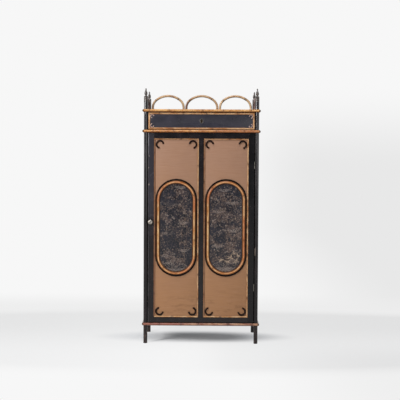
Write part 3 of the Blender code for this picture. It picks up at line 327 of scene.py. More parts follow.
def plaque_lacquer(name):
    """Black lacquer with a haze of gold dust inside the ring; outside it deeper black, darkened also as
    painted shade beside the raised ring.
    """
    look = Look(name, "dark_plaque", "#10111a", Specular_IOR_Level=0.4)
    clouds, drift = look.noise(0.045, detail=4), clearing(look)
    look.layer(look.span(clouds, 0.35, 0.7), "#1d1d28")
    dust = look.times(look.span(look.noise(0.0011, detail=1), 0.56, 0.66),
                      look.span(look.noise(0.022), 0.4, 0.62, 0.1, 1), look.span(drift, 0.42, 0.52, 0.1, 0.6))
    look.layer(dust, "#5e524c")
    look.layer(look.span(drift, 0.53, 0.66, 0, 0.6), "#594943")
    x, _, z = look.split(look.place)
    side = look.calc("SUBTRACT", look.calc("ABSOLUTE", x), OPENING_X)
    level = look.calc("ABSOLUTE", look.calc("SUBTRACT", z, PLAQUE_Z))
    end = look.calc("MAXIMUM", look.calc("SUBTRACT", level, (RING_OUTER_H - RING_OUTER_W) / 2), 0.0)
    # Outside the ring: deeper black lacquer, darkened also as painted shade beside the raised ring, reddish
    # brown along the sides, with less reflection.
    rim = look.span(look.length(look.vector(side, end, 0.0)), 0.1125, 0.1175)
    look.layer(look.times(rim, 0.9), look.mix(look.span(end, 0.03, 0.0), "#090504", "#2a1408"))
    inputs = {"Vector": look.place, "Scale": 130.0}
    crackle = look.node("ShaderNodeTexVoronoi", inputs, feature="DISTANCE_TO_EDGE")
    lines = look.span(crackle.outputs["Distance"], 0.03, 0.0)
    look.layer(look.times(lines, 0.3), "#0c0a0a")
    look.bump(look.calc("SUBTRACT", 1.0, lines), 0.00005)
    look.feed(look.shader.inputs["Specular IOR Level"], look.span(rim, 0, 1, 0.4, 0.1, False))
    return look.finish(look.calc("ADD", look.span(clouds, 0.3, 0.7, 0.26, 0.4), look.times(rim, 0.2)))


def gilt(name):
    """Raised gold lacquer in three tones, rubbed down to its ground in places."""
    look = Look(name, "dark_plaque", "#b0a094", Metallic=0.2, Specular_IOR_Level=0.4)
    tone = look.uv("nodes")[1]
    look.layer(look.span(tone, 0.0, 0.5, smooth=False), "#80695c")
    look.layer(look.span(tone, 0.5, 1.0, smooth=False), "#c8ae94")
    rubbed = look.noise(0.010, detail=5, rough=0.65)
    look.layer(look.span(rubbed, 0.47, 0.64, 0, 0.55), "#3b3130")
    faded = look.times(look.span(clearing(look), 0.51, 0.41, 0, 0.75), look.span(tone, 0.9, 0.7))
    look.layer(faded, "#21222e")
    fine = look.noise(0.0009, detail=2)
    look.layer(look.span(fine, 0.5, 0.7, 0, 0.45), "#453a37")
    look.bump(fine, 0.0001)
    return look.finish(look.span(rubbed, 0.3, 0.7, 0.36, 0.6))


def metal(name, colours, low, high, slot="aged_brass"):
    """A metal with tarnish in patches, fine pits and rubbing marks."""
    bright, dull, pit = colours.split()
    look = Look(name, slot, bright, Metallic=1.0)
    patches = look.noise(0.006, detail=5, rough=0.6)
    rubs = look.noise(0.0007, detail=2)
    pits = look.noise(0.0012, detail=2)
    look.layer(look.span(patches, 0.4, 0.62), dull)
    look.layer(look.span(pits, 0.62, 0.7, 0, 0.8), pit)
    look.bump(rubs, 0.00006)
    look.bump(look.span(pits, 0.62, 0.72), 0.0001, -1.0)
    return look.finish(look.calc("ADD", look.span(patches, 0.35, 0.7, low, high),
                                 look.span(rubs, 0.4, 0.7, 0, 0.08)))


POST_SPOT = ((0.3535, -0.1775, 0.600), (0.0035, 0.01, 0.031), "#7c6f64")
STILE_WEAR_AND_SHADOW_SPOTS = [((x, -0.1750, z), (0.002, 0.005, size), "#a8978a") for x, z, size in (
    (-0.3395, 1.225, 0.008), (-0.3420, 1.150, 0.005), (-0.3395, 1.040, 0.006))]
# A painted shadow: a dark ragged patch on the stile to the lower right of the knob.
STILE_WEAR_AND_SHADOW_SPOTS.append(((KNOB_X + 0.007, -0.1750, KNOB_Z - 0.008), (0.022, 0.006, 0.026), "#0a0606"))
POST_LACQUER = lacquer("post_lacquer", "z", shine=(0.34, 0.8), low=0.14, relief=0.12)
WORN_POST = lacquer("worn_post_lacquer", "z", shine=(0.34, 0.8), low=0.14, relief=0.12, spots=[POST_SPOT])
WORN_EDGE = lacquer("worn_stile_edge", "z", "#4d4c50", "#7b7a7e", wear=1.0)
STILE_LACQUER = lacquer("stile_lacquer", "z", worn_line_and_sheen_x=-0.3398, spots=STILE_WEAR_AND_SHADOW_SPOTS)
DEEP_LACQUER = lacquer("deep_black_lacquer", "z", "#070404", "#0f0a0b", specular=0.3)
LACQUER = {axis: lacquer(f"black_lacquer_{axis}", axis) for axis in "xyz"}
EDGE = {axis: lacquer(f"black_lacquer_edge_{axis}", axis, haze="#242226", wear=0.75) for axis in "xyz"}
# The drawer front's lighter blue-grey is partly its own lacquer and partly painted reflection.
DRAWER_BLACK = lacquer("drawer_lacquer", "x", "#2c2a32", "#33303a", specular=0.4, low=0.26, relief=0.5,
                       slot="dark_drawer")
DRAWER_EDGE = lacquer("drawer_lacquer_edge", "x", "#1c1b20", "#343238", wear=0.8, low=0.26,
                      slot="dark_drawer")
INSIDE = {axis: stained(f"inside_wood_{axis}", axis) for axis in "xy"}
BACKBOARD = stained("back_board_wood", "z", "#241a13", "#3c2b20", "#584233")
TOP_CANE = cane("golden_cane", "golden_cane", "#dfaa62 #be7b30 #854c0f #2c160b #b5683c", 0.6,
                (0.12, 0.37), 0.37)
MIDDLE_CANE = cane("middle_cane", "golden_cane", "#da9f58 #ab6728 #8a4a10 #28130a #a65f3c", 0.9,
                   (0.1, 0.36), 0.37)
RING_CANE = cane("ring_cane", "golden_cane", "#f2ca90 #c68140 #73400c #2c140a #c26236", 0.55, (0.03, 0.23),
                 specular=0.35, coat=0.12)
ARCH_CANE = cane("arch_cane", "golden_cane", "#f4cf9e #c4946a #4e2f1c #2c1a10 #6e3e2c", 0.5,
                 (0.16, 0.43), 0.14)
BOTTOM_CANE = cane("red_cane", "red_cane", "#bd8f6d #8d563d #48231a #220e09 #96503f", 0.8, (0.12, 0.40), 0.4)
SIDE_ARCH_CANE = cane("side_arch_cane", "red_cane", "#c98d74 #a05843 #3c1c15 #1c0b08 #4a2219", 0.8,
                      (0.2, 0.48), 0.2)
PALE_CANE = cane("pale_cane", "pale_cane", "#e6bb8a #b67538 #5a2c10 #2a140a #6f4124", 0.85, (0.1, 0.38))
# The small scrolls' near-white pink stands partly for painted highlights on the bent cane, which is pinkish
# brown.
SMALL_SCROLL_CANE = cane("small_scroll_cane", "dark_drawer", "#fbe6da #d3a493 #6a3c30 #2a120c #eecab9", 0.15,
                         (0.22, 0.5), 0.4, coat=0.7)
DARK_CANE = cane("dark_cane", "tan_panel", "#26130b #160a06 #0b0503 #070302 #2c150b", 0.6,
                 specular=0.12, coat=0.0)
ROD_CANES = {"top": TOP_CANE, "middle": MIDDLE_CANE, "bottom": BOTTOM_CANE}
CUT = end_grain("cane_end")
TAN = tan_paint("tan_paint")
PLAQUE = plaque_lacquer("plaque_lacquer")
GILT = gilt("gilt_lacquer")
PEWTER = metal("pewter", "#b9b1a7 #7c746c #3f3a35", 0.2, 0.38, "pewter")
BRASS = metal("aged_brass", "#6b5a3c #3d3224 #1e1811", 0.34, 0.58)
HINGE_METAL = metal("hinge_metal", "#7b776f #4b4843 #221f1b", 0.35, 0.6)
DARK_BRASS = metal("dark_brass", "#4a4038 #2b2622 #15120f", 0.35, 0.6)
# Blackened brass for the knob's rosette, made near black also as painted shade about the knob.
BLACKENED_AND_SHADED = metal("blackened_and_shaded_brass", "#241d18 #15110e #0a0807", 0.4, 0.6)
RIM_METAL = metal("rim_metal", "#98938e #716c67 #4a443d", 0.3, 0.5)
STEEL = metal("dull_steel", "#8d8a86 #5f5b57 #3a332c", 0.35, 0.55, "dull_steel")


# Making pieces

def mesh_of(name, bm, *materials):
    """The mesh of a bmesh, which is done with."""
    mesh = bpy.data.meshes.new(name)
    bm.to_mesh(mesh)
    bm.free()
    for material in materials:
        mesh.materials.append(material)
    return mesh


def link(name, data):
    made = bpy.data.objects.new(name, data)
    bpy.context.scene.collection.objects.link(made)
    return made


def solid(made):
    """The mesh that an object's modifiers or its curve give."""
    bpy.context.view_layer.update()
    return bpy.data.meshes.new_from_object(made.evaluated_get(bpy.context.evaluated_depsgraph_get()))


def ride(made, body, *replaced):
    """Puts a piece on its body, in place of the nodes given."""
    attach(made, body)
    if replaced:
        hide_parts(*replaced)
    return made


def settle(name, bm, materials, body, *replaced, angle=38):
    """Turns a bmesh into a smooth piece whose edges past the angle are sharp."""
    bmesh.ops.recalc_face_normals(bm, faces=bm.faces)
    mesh = mesh_of(name, bm, *materials)
    mesh.shade_smooth()
    mesh.set_sharp_from_angle(angle=math.radians(angle))
    return ride(link(name, mesh), body, *replaced)


def eased(node, material, edge, body, width):
    """A copy of a node with its edges rounded, the rounding in a material of its own."""
    bm = bmesh.new()
    bm.from_mesh(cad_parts[node].data)
    bmesh.ops.remove_doubles(bm, verts=bm.verts, dist=0.00001)
    bmesh.ops.dissolve_limit(bm, angle_limit=math.radians(0.4), verts=bm.verts, edges=bm.edges)
    for face in bm.faces:
        face.material_index = 0
        face.smooth = True
    mesh = mesh_of(f"{node}_square", bm, material, edge)
    if "custom_normal" in mesh.attributes:
        mesh.attributes.remove(mesh.attributes["custom_normal"])
    square = link(f"{node}_square", mesh)
    bevel = square.modifiers.new("Bevel", "BEVEL")
    bevel.width = width
    bevel.segments = 2
    bevel.limit_method = "ANGLE"
    bevel.angle_limit = math.radians(32)
    bevel.harden_normals = True
    bevel.material = 1
    mesh = solid(square)
    bpy.data.objects.remove(square)
    ride(link(f"{node}_eased", mesh), body, node)


def bridge(bm, one, two, closed=True):
    """Faces between two rows of points, without the corners that fall together."""
    faces = []
    for k in range(len(one) - (not closed)):
        n = (k + 1) % len(one)
        corners = list(dict.fromkeys((one[k], one[n], two[n], two[k])))
        if len(corners) > 2:
            faces.append(bm.faces.new(corners))
    return faces


def box(low, high):
    bm = bmesh.new()
    place = Matrix.Translation((low + high) / 2) @ Matrix.Diagonal((*(high - low), 1))
    bmesh.ops.create_cube(bm, size=1, matrix=place)
    return bm


def lathe(name, profile, sides, centre, up, material, body, node):
    """A profile of (radius, height) points spun about an axis."""
    bm = bmesh.new()
    across = up.cross(X)
    rings = []
    for radius, height in profile:
        middle = centre + up * height
        if radius < 1e-6:
            rings.append([bm.verts.new(middle)] * sides)
        else:
            rings.append([bm.verts.new(middle + (X * math.cos(a) + across * math.sin(a)) * radius)
                          for a in turns(sides)])
    for one, two in zip(rings, rings[1:]):
        bridge(bm, one, two)
    return settle(name, bm, [material], body, node)


def heads(name, places, out, body, radius=0.0011, height=0.0006, material=DARK_BRASS):
    """Small domed nail heads."""
    bm = bmesh.new()
    first = X if abs(out.dot(X)) < 0.5 else Z
    other = out.cross(first)
    for place in places:
        rows = []
        for share, lift in ((1.0, -0.3), (1.0, 0.25), (0.8, 0.7), (0.42, 0.95)):
            rows.append([bm.verts.new(place + (first * math.cos(a) + other * math.sin(a)) * (radius * share)
                                      + out * (height * lift)) for a in turns(12)])
        for one, two in zip(rows, rows[1:]):
            bridge(bm, one, two)
        bm.faces.new(rows[0])
        bm.faces.new(rows[-1])
    return settle(name, bm, [material], body)


# Canes

def half_round(width, height, count, power=1.0):
    """A half-round section with its flat side down: (across, out) points from right to left."""
    points = []
    for k in range(count + 1):
        a = math.pi * k / count
        c, s = math.cos(a), math.sin(a)
        points.append((math.copysign(abs(c) ** power, c) * width / 2, abs(s) ** power * height))
    return points


def straight_path(length):
    return lambda d: (d - length / 2, 0, 1, 0), length


def arch_path(outer):
    """A flat-topped arch of three arcs on two straight legs."""
    half, leg = (outer - ARCH_D) / 2, ARCH_LEG - SEAT
    rise, shoulder = half * 0.75, half * 0.62
    sunk = (half - rise) * (half + rise - 2 * shoulder) / (2 * (rise - shoulder))
    crown, turn = rise + sunk, math.atan2(sunk, half - shoulder)
    bend = leg + shoulder * turn
    length = 2 * (bend + crown * (math.pi / 2 - turn))

    def at(d):
        along, side = min(d, length - d), -1 if d < length / 2 else 1
        if along <= leg:
            return side * half, along, 0, -side
        if along <= bend:
            a = (along - leg) / shoulder
            x, z = half - shoulder + shoulder * math.cos(a), leg + shoulder * math.sin(a)
        else:
            a = turn + (along - bend) / crown
            x, z = crown * math.cos(a), leg - sunk + crown * math.sin(a)
        return side * x, z, math.sin(a), -side * math.cos(a)
    return at, length


def stadium_path(width, height):
    radius, straight = width / 2, height - width
    half = straight + math.pi * radius

    def at(d):
        side = 1 if d % (2 * half) < half else -1
        s = d % half
        if s < straight:
            return side * radius, side * (s - straight / 2), 0, side
        a = (s - straight) / radius
        x, y = radius * math.cos(a), straight / 2 + radius * math.sin(a)
        return side * x, side * y, -side * math.sin(a), side * math.cos(a)
    return at, 2 * half


def arc_path(radius, start, end):
    def at(d):
        a = start + d / radius
        return radius * math.cos(a), radius * math.sin(a), -math.sin(a), math.cos(a)
    return at, radius * (end - start)


def blend(points, share):
    """The value at a share of the way along a list of (share, value) points."""
    for (low, a), (high, b) in zip(points, points[1:]):
        if share <= high:
            return a + (b - a) * max(share - low, 0) / (high - low)
    return points[-1][1]


def node_swell(gap):
    """How much a cane is thicker near a node: a ridge, and a groove just past it."""
    ridge = 0.075 * math.exp(-((gap / 0.0019) ** 2))
    groove = 0.05 * math.exp(-(((gap - 0.0030) / 0.0012) ** 2))
    flare = 0.018 * math.exp(-((gap / 0.0085) ** 2))
    return ridge - groove + flare


NO_NODE = 9
NODE_STEPS = (-9, -5, -3.4, -2.4, -1.6, -0.9, -0.3, 0.3, 0.9, 1.6, 2.2, 2.8, 3.4, 4.2, 5.2, 9)


def stops_along(stops, length, marks, steps, clear, margin=0.0):
    """The even places away from the nodes, and closer ones at the nodes, within a margin of the ends."""
    def inner(d):
        return margin < d < length - margin
    kept = {d for d in stops if not 0 < d < length or inner(d) and all(abs(d - m) > clear for m in marks)}
    return kept | {m + s * 0.001 for m in marks for s in steps if inner(m + s * 0.001)}


def nearest(d, marks):
    """How far a place is past the node nearest to it."""
    return min((d - m for m in marks), key=abs, default=NO_NODE)


def cane_mesh():
    """An empty bmesh with the two maps that the cane material reads."""
    bm = bmesh.new()
    for word in ("cane", "nodes"):
        bm.loops.layers.uv.new(word)
    return bm


def skin(bm, rings, shares, cap=None):
    """Faces over rings of (points, place, gap to a node, tone), and ends with (share, tone, material)."""
    cane_map, node_map = bm.loops.layers.uv["cane"], bm.loops.layers.uv["nodes"]
    for (one, *first), (two, *second) in zip(rings, rings[1:]):
        for k, face in enumerate(bridge(bm, one, two)):
            low, high = shares[k], shares[(k + 1) % len(shares)] or 1.0
            ends = (first, low), (first, high), (second, high), (second, low)
            for loop, ((d, gap, tone), share) in zip(face.loops, ends):
                loop[cane_map].uv = (d, share)
                loop[node_map].uv = (gap, tone)
    if cap:
        for ring in (rings[0], rings[-1]):
            face = bm.faces.new(ring[0])
            face.material_index = cap[2]
            for loop in face.loops:
                loop[cane_map].uv = (0, cap[0])
                loop[node_map].uv = (NO_NODE, cap[1])


def run(name, path, section, origin, out, materials, body, *replaced, nodes=(), closed=False, step=0.006,
        tone=0.5, tips=0.0, wobble=0.012):
    """Sweeps a section along a path in the upright plane that faces out."""
    at, length = path
    marks = [share * length for share in nodes]
    count = max(2, round(length / step))
    even = [length * k / count for k in range(count + (not closed))]
    stops = stops_along(even, length, marks, NODE_STEPS, clear=0.0095)
    if tips:
        stops |= {e for k in (0.02, 0.12, 0.3, 0.55, 0.8) for e in (k * tips, length - k * tips)}
    bm = cane_mesh()
    seed = sum(ord(c) for c in name) * 0.37
    sideways = Z.cross(out)
    rings = []
    for d in sorted(stops):
        x, y, tx, ty = at(d)
        side = out.cross(sideways * tx + Z * ty)
        gap = nearest(d, marks)
        size = min(1 + node_swell(gap) + wobble * noise.noise(Vector((d * 14 + seed, seed, 0))), 1.088)
        near = min(d, length - d) / tips if tips else 1
        if near < 1:
            size *= math.sqrt(max(1 - (1 - near) ** 2, 0.08))
        centre = origin + sideways * x + Z * y
        shade = tone if isinstance(tone, float) else blend(tone, d / length)
        rings.append(([bm.verts.new(centre + side * (u * size) + out * (v * size)) for u, v in section],
                      d, abs(gap), shade))
    if closed:
        rings.append((rings[0][0], length, rings[0][2], blend(tone, 1)))
    walk = [0.0]
    for one, two in zip(section, section[1:]):
        walk.append(walk[-1] + math.dist(one, two))
    flat_side = max(abs(section[0][1]), abs(section[-1][1])) < 1e-9 and section[-1][0] < 0
    total = walk[-1] if flat_side else walk[-1] + math.dist(section[0], section[-1])
    cap = None if closed else (0.5, 0.5, 1 if len(materials) > 1 and not tips else 0)
    skin(bm, rings, [w / total for w in walk], cap)
    return settle(name, bm, materials, body, *replaced, angle=50)


def strip(bm, start, end, inward, width, height, tone, nodes, seed):
    """A mitred strip of split cane: its outer edge runs from start to end, its width goes inward."""
    along, length = (end - start).normalized(), (end - start).length
    section = half_round(width, height, 10, 0.62)
    marks = [share * length for share in nodes]
    even = [0.0, length] + [k * 0.012 for k in range(2, int(length / 0.012) - 1)]
    rings = []
    for d in sorted(stops_along(even, length, marks, NODE_STEPS[1:-1], clear=0.006, margin=width)):
        gap = nearest(d, marks)
        size = 1 + 0.6 * node_swell(gap) + 0.012 * noise.noise(Vector((d * 11 + seed, seed, 3)))
        row = []
        for u, v in section:
            inset = width / 2 - u
            mitre = inset if d == 0.0 else -inset if d == length else 0
            row.append(bm.verts.new(start + along * (d + mitre) + inward * inset - Y * (v * size)))
        rings.append((row, d + seed, abs(gap), tone))
    skin(bm, rings, [k / (len(section) - 1) for k in range(len(section))], (0, tone, 0))


def strip_frame(node, centre, width, height, strip_w, strip_h, tones, body, seed):
    """Four mitred strips round a rectangle that faces the front."""
    bm = cane_mesh()
    draw = random.Random(seed)
    corners = [centre + X * (sx * width / 2) + Z * (sz * height / 2)
               for sx, sz in ((-1, -1), (1, -1), (1, 1), (-1, 1))]
    play = 0.00015
    for k, (inward, tone) in enumerate(zip((Z, -X, -Z, X), tones)):
        start, end = corners[k], corners[(k + 1) % 4]
        length = (end - start).length
        shift = (end - start).normalized() * play
        nodes = []
        d = draw.uniform(0.07, 0.16)
        while d < length - 0.03:
            nodes.append(d / length)
            d += draw.uniform(0.13, 0.27)
        strip(bm, start + shift, end - shift, inward, strip_w, strip_h, tone, nodes, seed + k * 1.7)
    return settle(f"{node}_strips", bm, [PALE_CANE], body, node, angle=60)


def scrolls(name, centre, field, diameter, stroke, body, material, tones):
    """A C of bent cane in each corner of a field, open towards the field's middle."""
    lift = stroke * 0.08
    section = []
    for k in range(15):
        a = -0.16 + (math.pi + 0.32) * k / 14
        section.append((stroke / 2 * math.cos(a), max(stroke / 2 * math.sin(a) + lift, -0.0001)))
    for sx, sz in CORNERS:
        opening = math.atan2(-sz, -sx)
        path = arc_path((diameter - stroke) / 2, opening + SCROLL_OPENING / 2,
                        opening + 2 * math.pi - SCROLL_OPENING / 2)
        across, up = ((size - diameter) / 2 - SEAT for size in field)
        place = centre + X * (sx * across) + Z * (sz * up)
        corner = ("upper" if sz > 0 else "lower") + ("_right" if sx > 0 else "_left")
        run(f"{name}_scroll_{corner}", path, section, place, -Y, [material], body, nodes=(0.3, 0.78),
            step=stroke / 3, tips=stroke * 0.2, tone=tones[sx > 0], wobble=0.04)


# The case, and the wood and metal that only have their edges eased

EASED = (
    ("case", 0.0012, LACQUER["x"], EDGE["x"], "top_board divider_board bottom_board"),
    ("case", 0.0006, LACQUER["z"], EDGE["z"], "side_panel_left_lower side_panel_right_lower"),
    ("case", 0.001, LACQUER["y"], EDGE["y"], "side_panel_left_upper side_panel_right_upper"),
    ("case", 0.0005, BACKBOARD, BACKBOARD, "back_panel"),
    ("case", 0.001, INSIDE["x"], INSIDE["x"], "shelf_lower shelf_upper"),
    ("case", 0.0002, BRASS, BRASS, "latch_keeper"),
    ("case", 0.00015, HINGE_METAL, HINGE_METAL, "hinge_lower_case hinge_upper_case"),
    ("door", 0.0016, STILE_LACQUER, WORN_EDGE, "door_stile_knob"),
    ("door", 0.0009, DEEP_LACQUER, EDGE["z"], "door_stile_hinge"),
    ("door", 0.0009, LACQUER["z"], EDGE["z"], "door_muntin"),
    ("door", 0.0009, LACQUER["x"], EDGE["x"], "door_rail_top door_rail_bottom"),
    ("door", 0.0006, PLAQUE, PLAQUE, "medallion_plaque_left medallion_plaque_right"),
    ("door", 0.00015, HINGE_METAL, HINGE_METAL, "hinge_lower_door hinge_upper_door"),
    ("latch", 0.0004, STEEL, STEEL, "latch_tongue"),
    ("drawer", 0.0008, INSIDE["y"], INSIDE["y"], "drawer_side_left drawer_side_right"),
    ("drawer", 0.0008, INSIDE["x"], INSIDE["x"], "drawer_back"),
    ("drawer", 0.0003, INSIDE["x"], INSIDE["x"], "drawer_bottom"),
    ("drawer", 0.0004, BRASS, BRASS, "lock_case"),
    ("bolt", 0.0004, BRASS, BRASS, "lock_bolt"),
)


def posts():
    tip, foot = POST_TOP, POST_SHOULDER
    profile = [(0, tip), (0.0024, tip - 0.0002), (0.0037, tip - 0.0012), (0.0042, tip - 0.0028),
               (0.0043, tip - 0.008)]
    for k in range(13):
        flare = 0.00575 * (1 - math.cos(math.pi * k / 12)) / 2
        profile.append((0.0045 + flare, tip - 0.012 - 0.020 * k / 12))
    for k in range(1, 11):
        a = math.pi * k / 20
        profile.append((0.0070 + 0.00325 * math.cos(a), tip - 0.032 - 0.012 * math.sin(a)))
    profile += [(0.0069, foot + 0.0030), (0.0074, foot + 0.0006), (0.0082, foot), (POST_R - 0.0024, foot)]
    profile += [(POST_R - 0.0009, foot - 0.0006), (POST_R - 0.0001, foot - 0.0021)]
    profile += [(POST_R, foot - 0.0023 - (foot - 0.004) * k / 12) for k in range(12)]
    profile += [(POST_R, 0.0018), (POST_R - 0.0005, 0.0006), (POST_R - 0.0015, 0), (0, 0)]
    for side, word in SIDES:
        for end, level in ENDS:
            node = f"post_{level}_{word}"
            worn = node == "post_front_right"
            made = lathe(f"{node}_turned", profile, 40, cab(side * POST_X, end * POST_Y, 0), Z,
                         WORN_POST if worn else POST_LACQUER, "case", node)
            if worn:
                gains(made)


def gains(post):
    """Cuts the flats for the hinge leaves into the post."""
    cutters = []
    for z in HINGE_LEVELS.values():
        block = box(cab(0.346, -0.190, z - 0.0228), cab(0.3495, -0.164, z + 0.0228))
        cutters.append(link("gain", mesh_of("gain", block)))
        cut = post.modifiers.new("Gain", "BOOLEAN")
        cut.operation = "DIFFERENCE"
        cut.solver = "EXACT"
        cut.object = cutters[-1]
    mesh = solid(post)
    post.modifiers.clear()
    post.data = mesh
    for cutter in cutters:
        bpy.data.objects.remove(cutter)


def rods():
    section = half_round(ROD_W, ROD_H, 16)
    nails = []
    for level, (z, nodes, tone) in RODS.items():
        materials = [ROD_CANES[level], CUT]
        node = f"rod_front_{level}"
        origin = cab(0, -DEPTH / 2 - SEAT, z)
        run(f"{node}_cane", straight_path(WIDTH), section, origin, -Y, materials, "case", node,
            nodes=nodes, tone=tone)
        nails += [origin + X * x - Y * ROD_H for x in (-0.352, -0.176, 0.006, 0.181, 0.354)]
        for side, word in SIDES:
            node = f"rod_{word}_{level}"
            origin = cab(side * (WIDTH / 2 + SEAT), 0, z)
            run(f"{node}_cane", straight_path(DEPTH), section, origin, X * side, materials, "case", node,
                nodes=SIDE_ROD_NODES, tone=0.55)
            places = [origin + X * (side * ROD_H) + Y * y for y in (-0.165, 0.0, 0.165)]
            heads(f"{node}_nails", places, X * side, "case")
    heads("rod_front_nails", nails, -Y, "case")


def gallery():
    section = [(ARCH_D / 2 * math.cos(a), ARCH_D / 2 * math.sin(a)) for a in turns(24)]
    width = (2 * 0.348 - 4 * ARCH_GAP) / 3
    dark_foot = ((0, 0.0), (0.2, 0.0), (0.2, 0.7), (1, 0.7))
    for place, word, tone in ((-1, "left", 0.75), (0, "middle", dark_foot), (1, "right", 0.85)):
        node = f"arch_back_{word}"
        origin = cab(place * (width + ARCH_GAP), POST_Y, TOP_TOP + SEAT)
        run(f"{node}_cane", arch_path(width), section, origin, -Y, [ARCH_CANE, CUT], "case", node,
            nodes=(0.24, 0.71), step=0.005, tone=tone)
    width = (2 * 0.164 - 3 * ARCH_GAP) / 2
    for side, word in SIDES:
        for end, level in ENDS:
            node = f"arch_{word}_{level}"
            origin = cab(side * POST_X, end * (width + ARCH_GAP) / 2, TOP_TOP + SEAT)
            run(f"{node}_cane", arch_path(width), section, origin, X * side, [SIDE_ARCH_CANE, CUT], "case",
                node, nodes=(0.38, 0.8), step=0.004, tone=0.05 if side < 0 else 0.8)


# The door

PIN = {"radius": 0.0009, "height": 0.0004}


def door_panels():
    edge_w, edge_h = OPENING_W - 2 * SEAT, OPENING_H - 2 * SEAT
    half_w, half_h = OPENING_W / 2 + PANEL_TONGUE, OPENING_H / 2 + PANEL_TONGUE
    # Tones of the strips, bottom, right, top and left: the left and top strips darker as painted shade from
    # the stile, muntin and top rail.
    tones = {"left": (0.95, 0.6, 0.3, 0.0), "right": (0.9, 0.8, 0.4, 0.1)}
    for side, word in SIDES:
        x = side * OPENING_X
        node = f"door_panel_{word}"
        board = box(cab(x - half_w, PANEL_FACE, OPENING_Z - half_h),
                    cab(x + half_w, PANEL_FACE + PANEL_T, OPENING_Z + half_h))
        bmesh.ops.bevel(board, geom=board.edges[:], offset=0.0006, segments=2, affect="EDGES", profile=0.5)
        settle(f"{node}_board", board, [TAN], "door", node, angle=30)
        scrolls(node, cab(x, PANEL_FACE, OPENING_Z), (edge_w - 2 * BORDER_W, edge_h - 2 * BORDER_W), SCROLL_D,
                SCROLL_STROKE, "door", DARK_CANE, (0.2, 0.6))
        strip_frame(f"panel_border_{word}", cab(x, PANEL_FACE - SEAT, OPENING_Z), edge_w, edge_h, BORDER_W,
                    BORDER_T, tones[word], "door", seed=11 + side)
        node = f"medallion_ring_{word}"
        run(f"{node}_cane", stadium_path(RING_OUTER_W - RING_W, RING_OUTER_H - RING_W),
            half_round(RING_W, RING_H, 16), cab(x, PLAQUE_FACE - SEAT, PLAQUE_Z), -Y, [RING_CANE], "door",
            node, nodes=RING_NODES, closed=True, tone=RING_TONES[word])
        y = PANEL_FACE - SEAT - BORDER_T
        nails = [cab(x + sx * (edge_w - BORDER_W) / 2, y, OPENING_Z + share * edge_h)
                 for share in (-0.46, -0.3, -0.14, 0.02, 0.18, 0.34, 0.46) for sx in (-1, 1)]
        nails += [cab(x + share * edge_w, y, OPENING_Z + sz * (edge_h - BORDER_W) / 2)
                  for share in (-0.38, 0.03, 0.39) for sz in (-1, 1)]
        heads(f"panel_border_{word}_nails", nails, -Y, "door", **PIN)


def knob():
    face, round_r, round_h = 0.2123, 0.0155, 0.0085
    profile = [(0, face - 0.0006), (0.0012, face - 0.0005), (0.0022, face - 0.0001), (0.0034, face)]
    for k in range(1, 19):
        a = math.pi / 2 - 0.2 - (math.pi / 2 - 0.2 + 1.12) * k / 18
        profile.append((round_r * math.cos(a), face - round_h + round_h * math.sin(a)))
    profile += [(0.00575, face - 0.0175), (0.0056, face - 0.0192), (0.0062, face - 0.0208),
                (0.0079, face - 0.0216), (0.0085, face - 0.0221), (0.0085, face - 0.0237),
                (0.004, face - 0.0237), (0.004, 0.152), (0, 0.152)]
    centre = cab(KNOB_X, 0, KNOB_Z)
    lathe("door_knob_turned", profile, 48, centre, -Y, PEWTER, "latch", "door_knob")
    base = SEAT - DOOR_FACE
    rosette = ((0.0045, 0), (0.0145, 0), (0.0145, 0.0009), (0.0139, 0.0015), (0.0128, 0.0015),
               (0.0122, 0.0011), (0.0116, 0.0011), (0.0108, 0.0017), (0.0096, 0.002), (0.0045, 0.002),
               (0.0045, 0))
    lathe("knob_rosette_turned", [(r, base + h) for r, h in rosette], 48, centre, -Y, BLACKENED_AND_SHADED, "door",
          "knob_rosette")


def hinge_screws():
    for word, z in HINGE_LEVELS.items():
        spots = [(z - 0.015, -0.0025), (z, 0.0025), (z + 0.015, -0.0025)]
        places = [cab(0.345, -0.1765 + dy, level) for level, dy in spots]
        heads(f"hinge_{word}_door_screws", places, X, "door", radius=0.0021, height=0.00035, material=STEEL)
        places = [cab(0.348, -0.1785 + dy / 2, level) for level, dy in spots]
        heads(f"hinge_{word}_case_screws", places, -X, "case", radius=0.0019, height=0.00035, material=STEEL)


# The drawer

def keyhole(radius=0.0033, slot=0.0032, drop=0.0095, steps=20):
    lean = math.asin(slot / 2 / radius)
    bow = [-math.pi / 2 + lean + (2 * math.pi - 2 * lean) * k / steps for k in range(steps + 1)]
    round_part = [(radius * math.cos(a), radius * math.sin(a)) for a in bow]
    return round_part + [(-slot / 2, -drop), (slot / 2, -drop)]


def plate(name, outlines, front, thickness, bevel, material, *replaced):
    """A flat plate about the keyhole that faces the front, with holes, its front edges softened."""
    curve = bpy.data.curves.new(name, "CURVE")
    curve.dimensions = "2D"
    curve.fill_mode = "BOTH"
    curve.extrude = thickness / 2 - bevel
    curve.bevel_depth = bevel
    curve.bevel_resolution = 1
    curve.offset = -bevel
    for outline in outlines:
        spline = curve.splines.new("POLY")
        spline.points.add(len(outline) - 1)
        for point, (x, y) in zip(spline.points, outline):
            point.co = (x, y, 0, 1)
        spline.use_cyclic_u = True
    flat = link(name, curve)
    flat.rotation_euler = (math.pi / 2, 0, 0)
    flat.location = cab(0, front + thickness / 2, DRAWER_Z)
    bm = bmesh.new()
    bm.from_mesh(solid(flat))
    bm.transform(flat.matrix_world)
    bpy.data.objects.remove(flat)
    bmesh.ops.remove_doubles(bm, verts=bm.verts, dist=0.00001)
    return settle(name, bm, [material], "drawer", *replaced, angle=30)


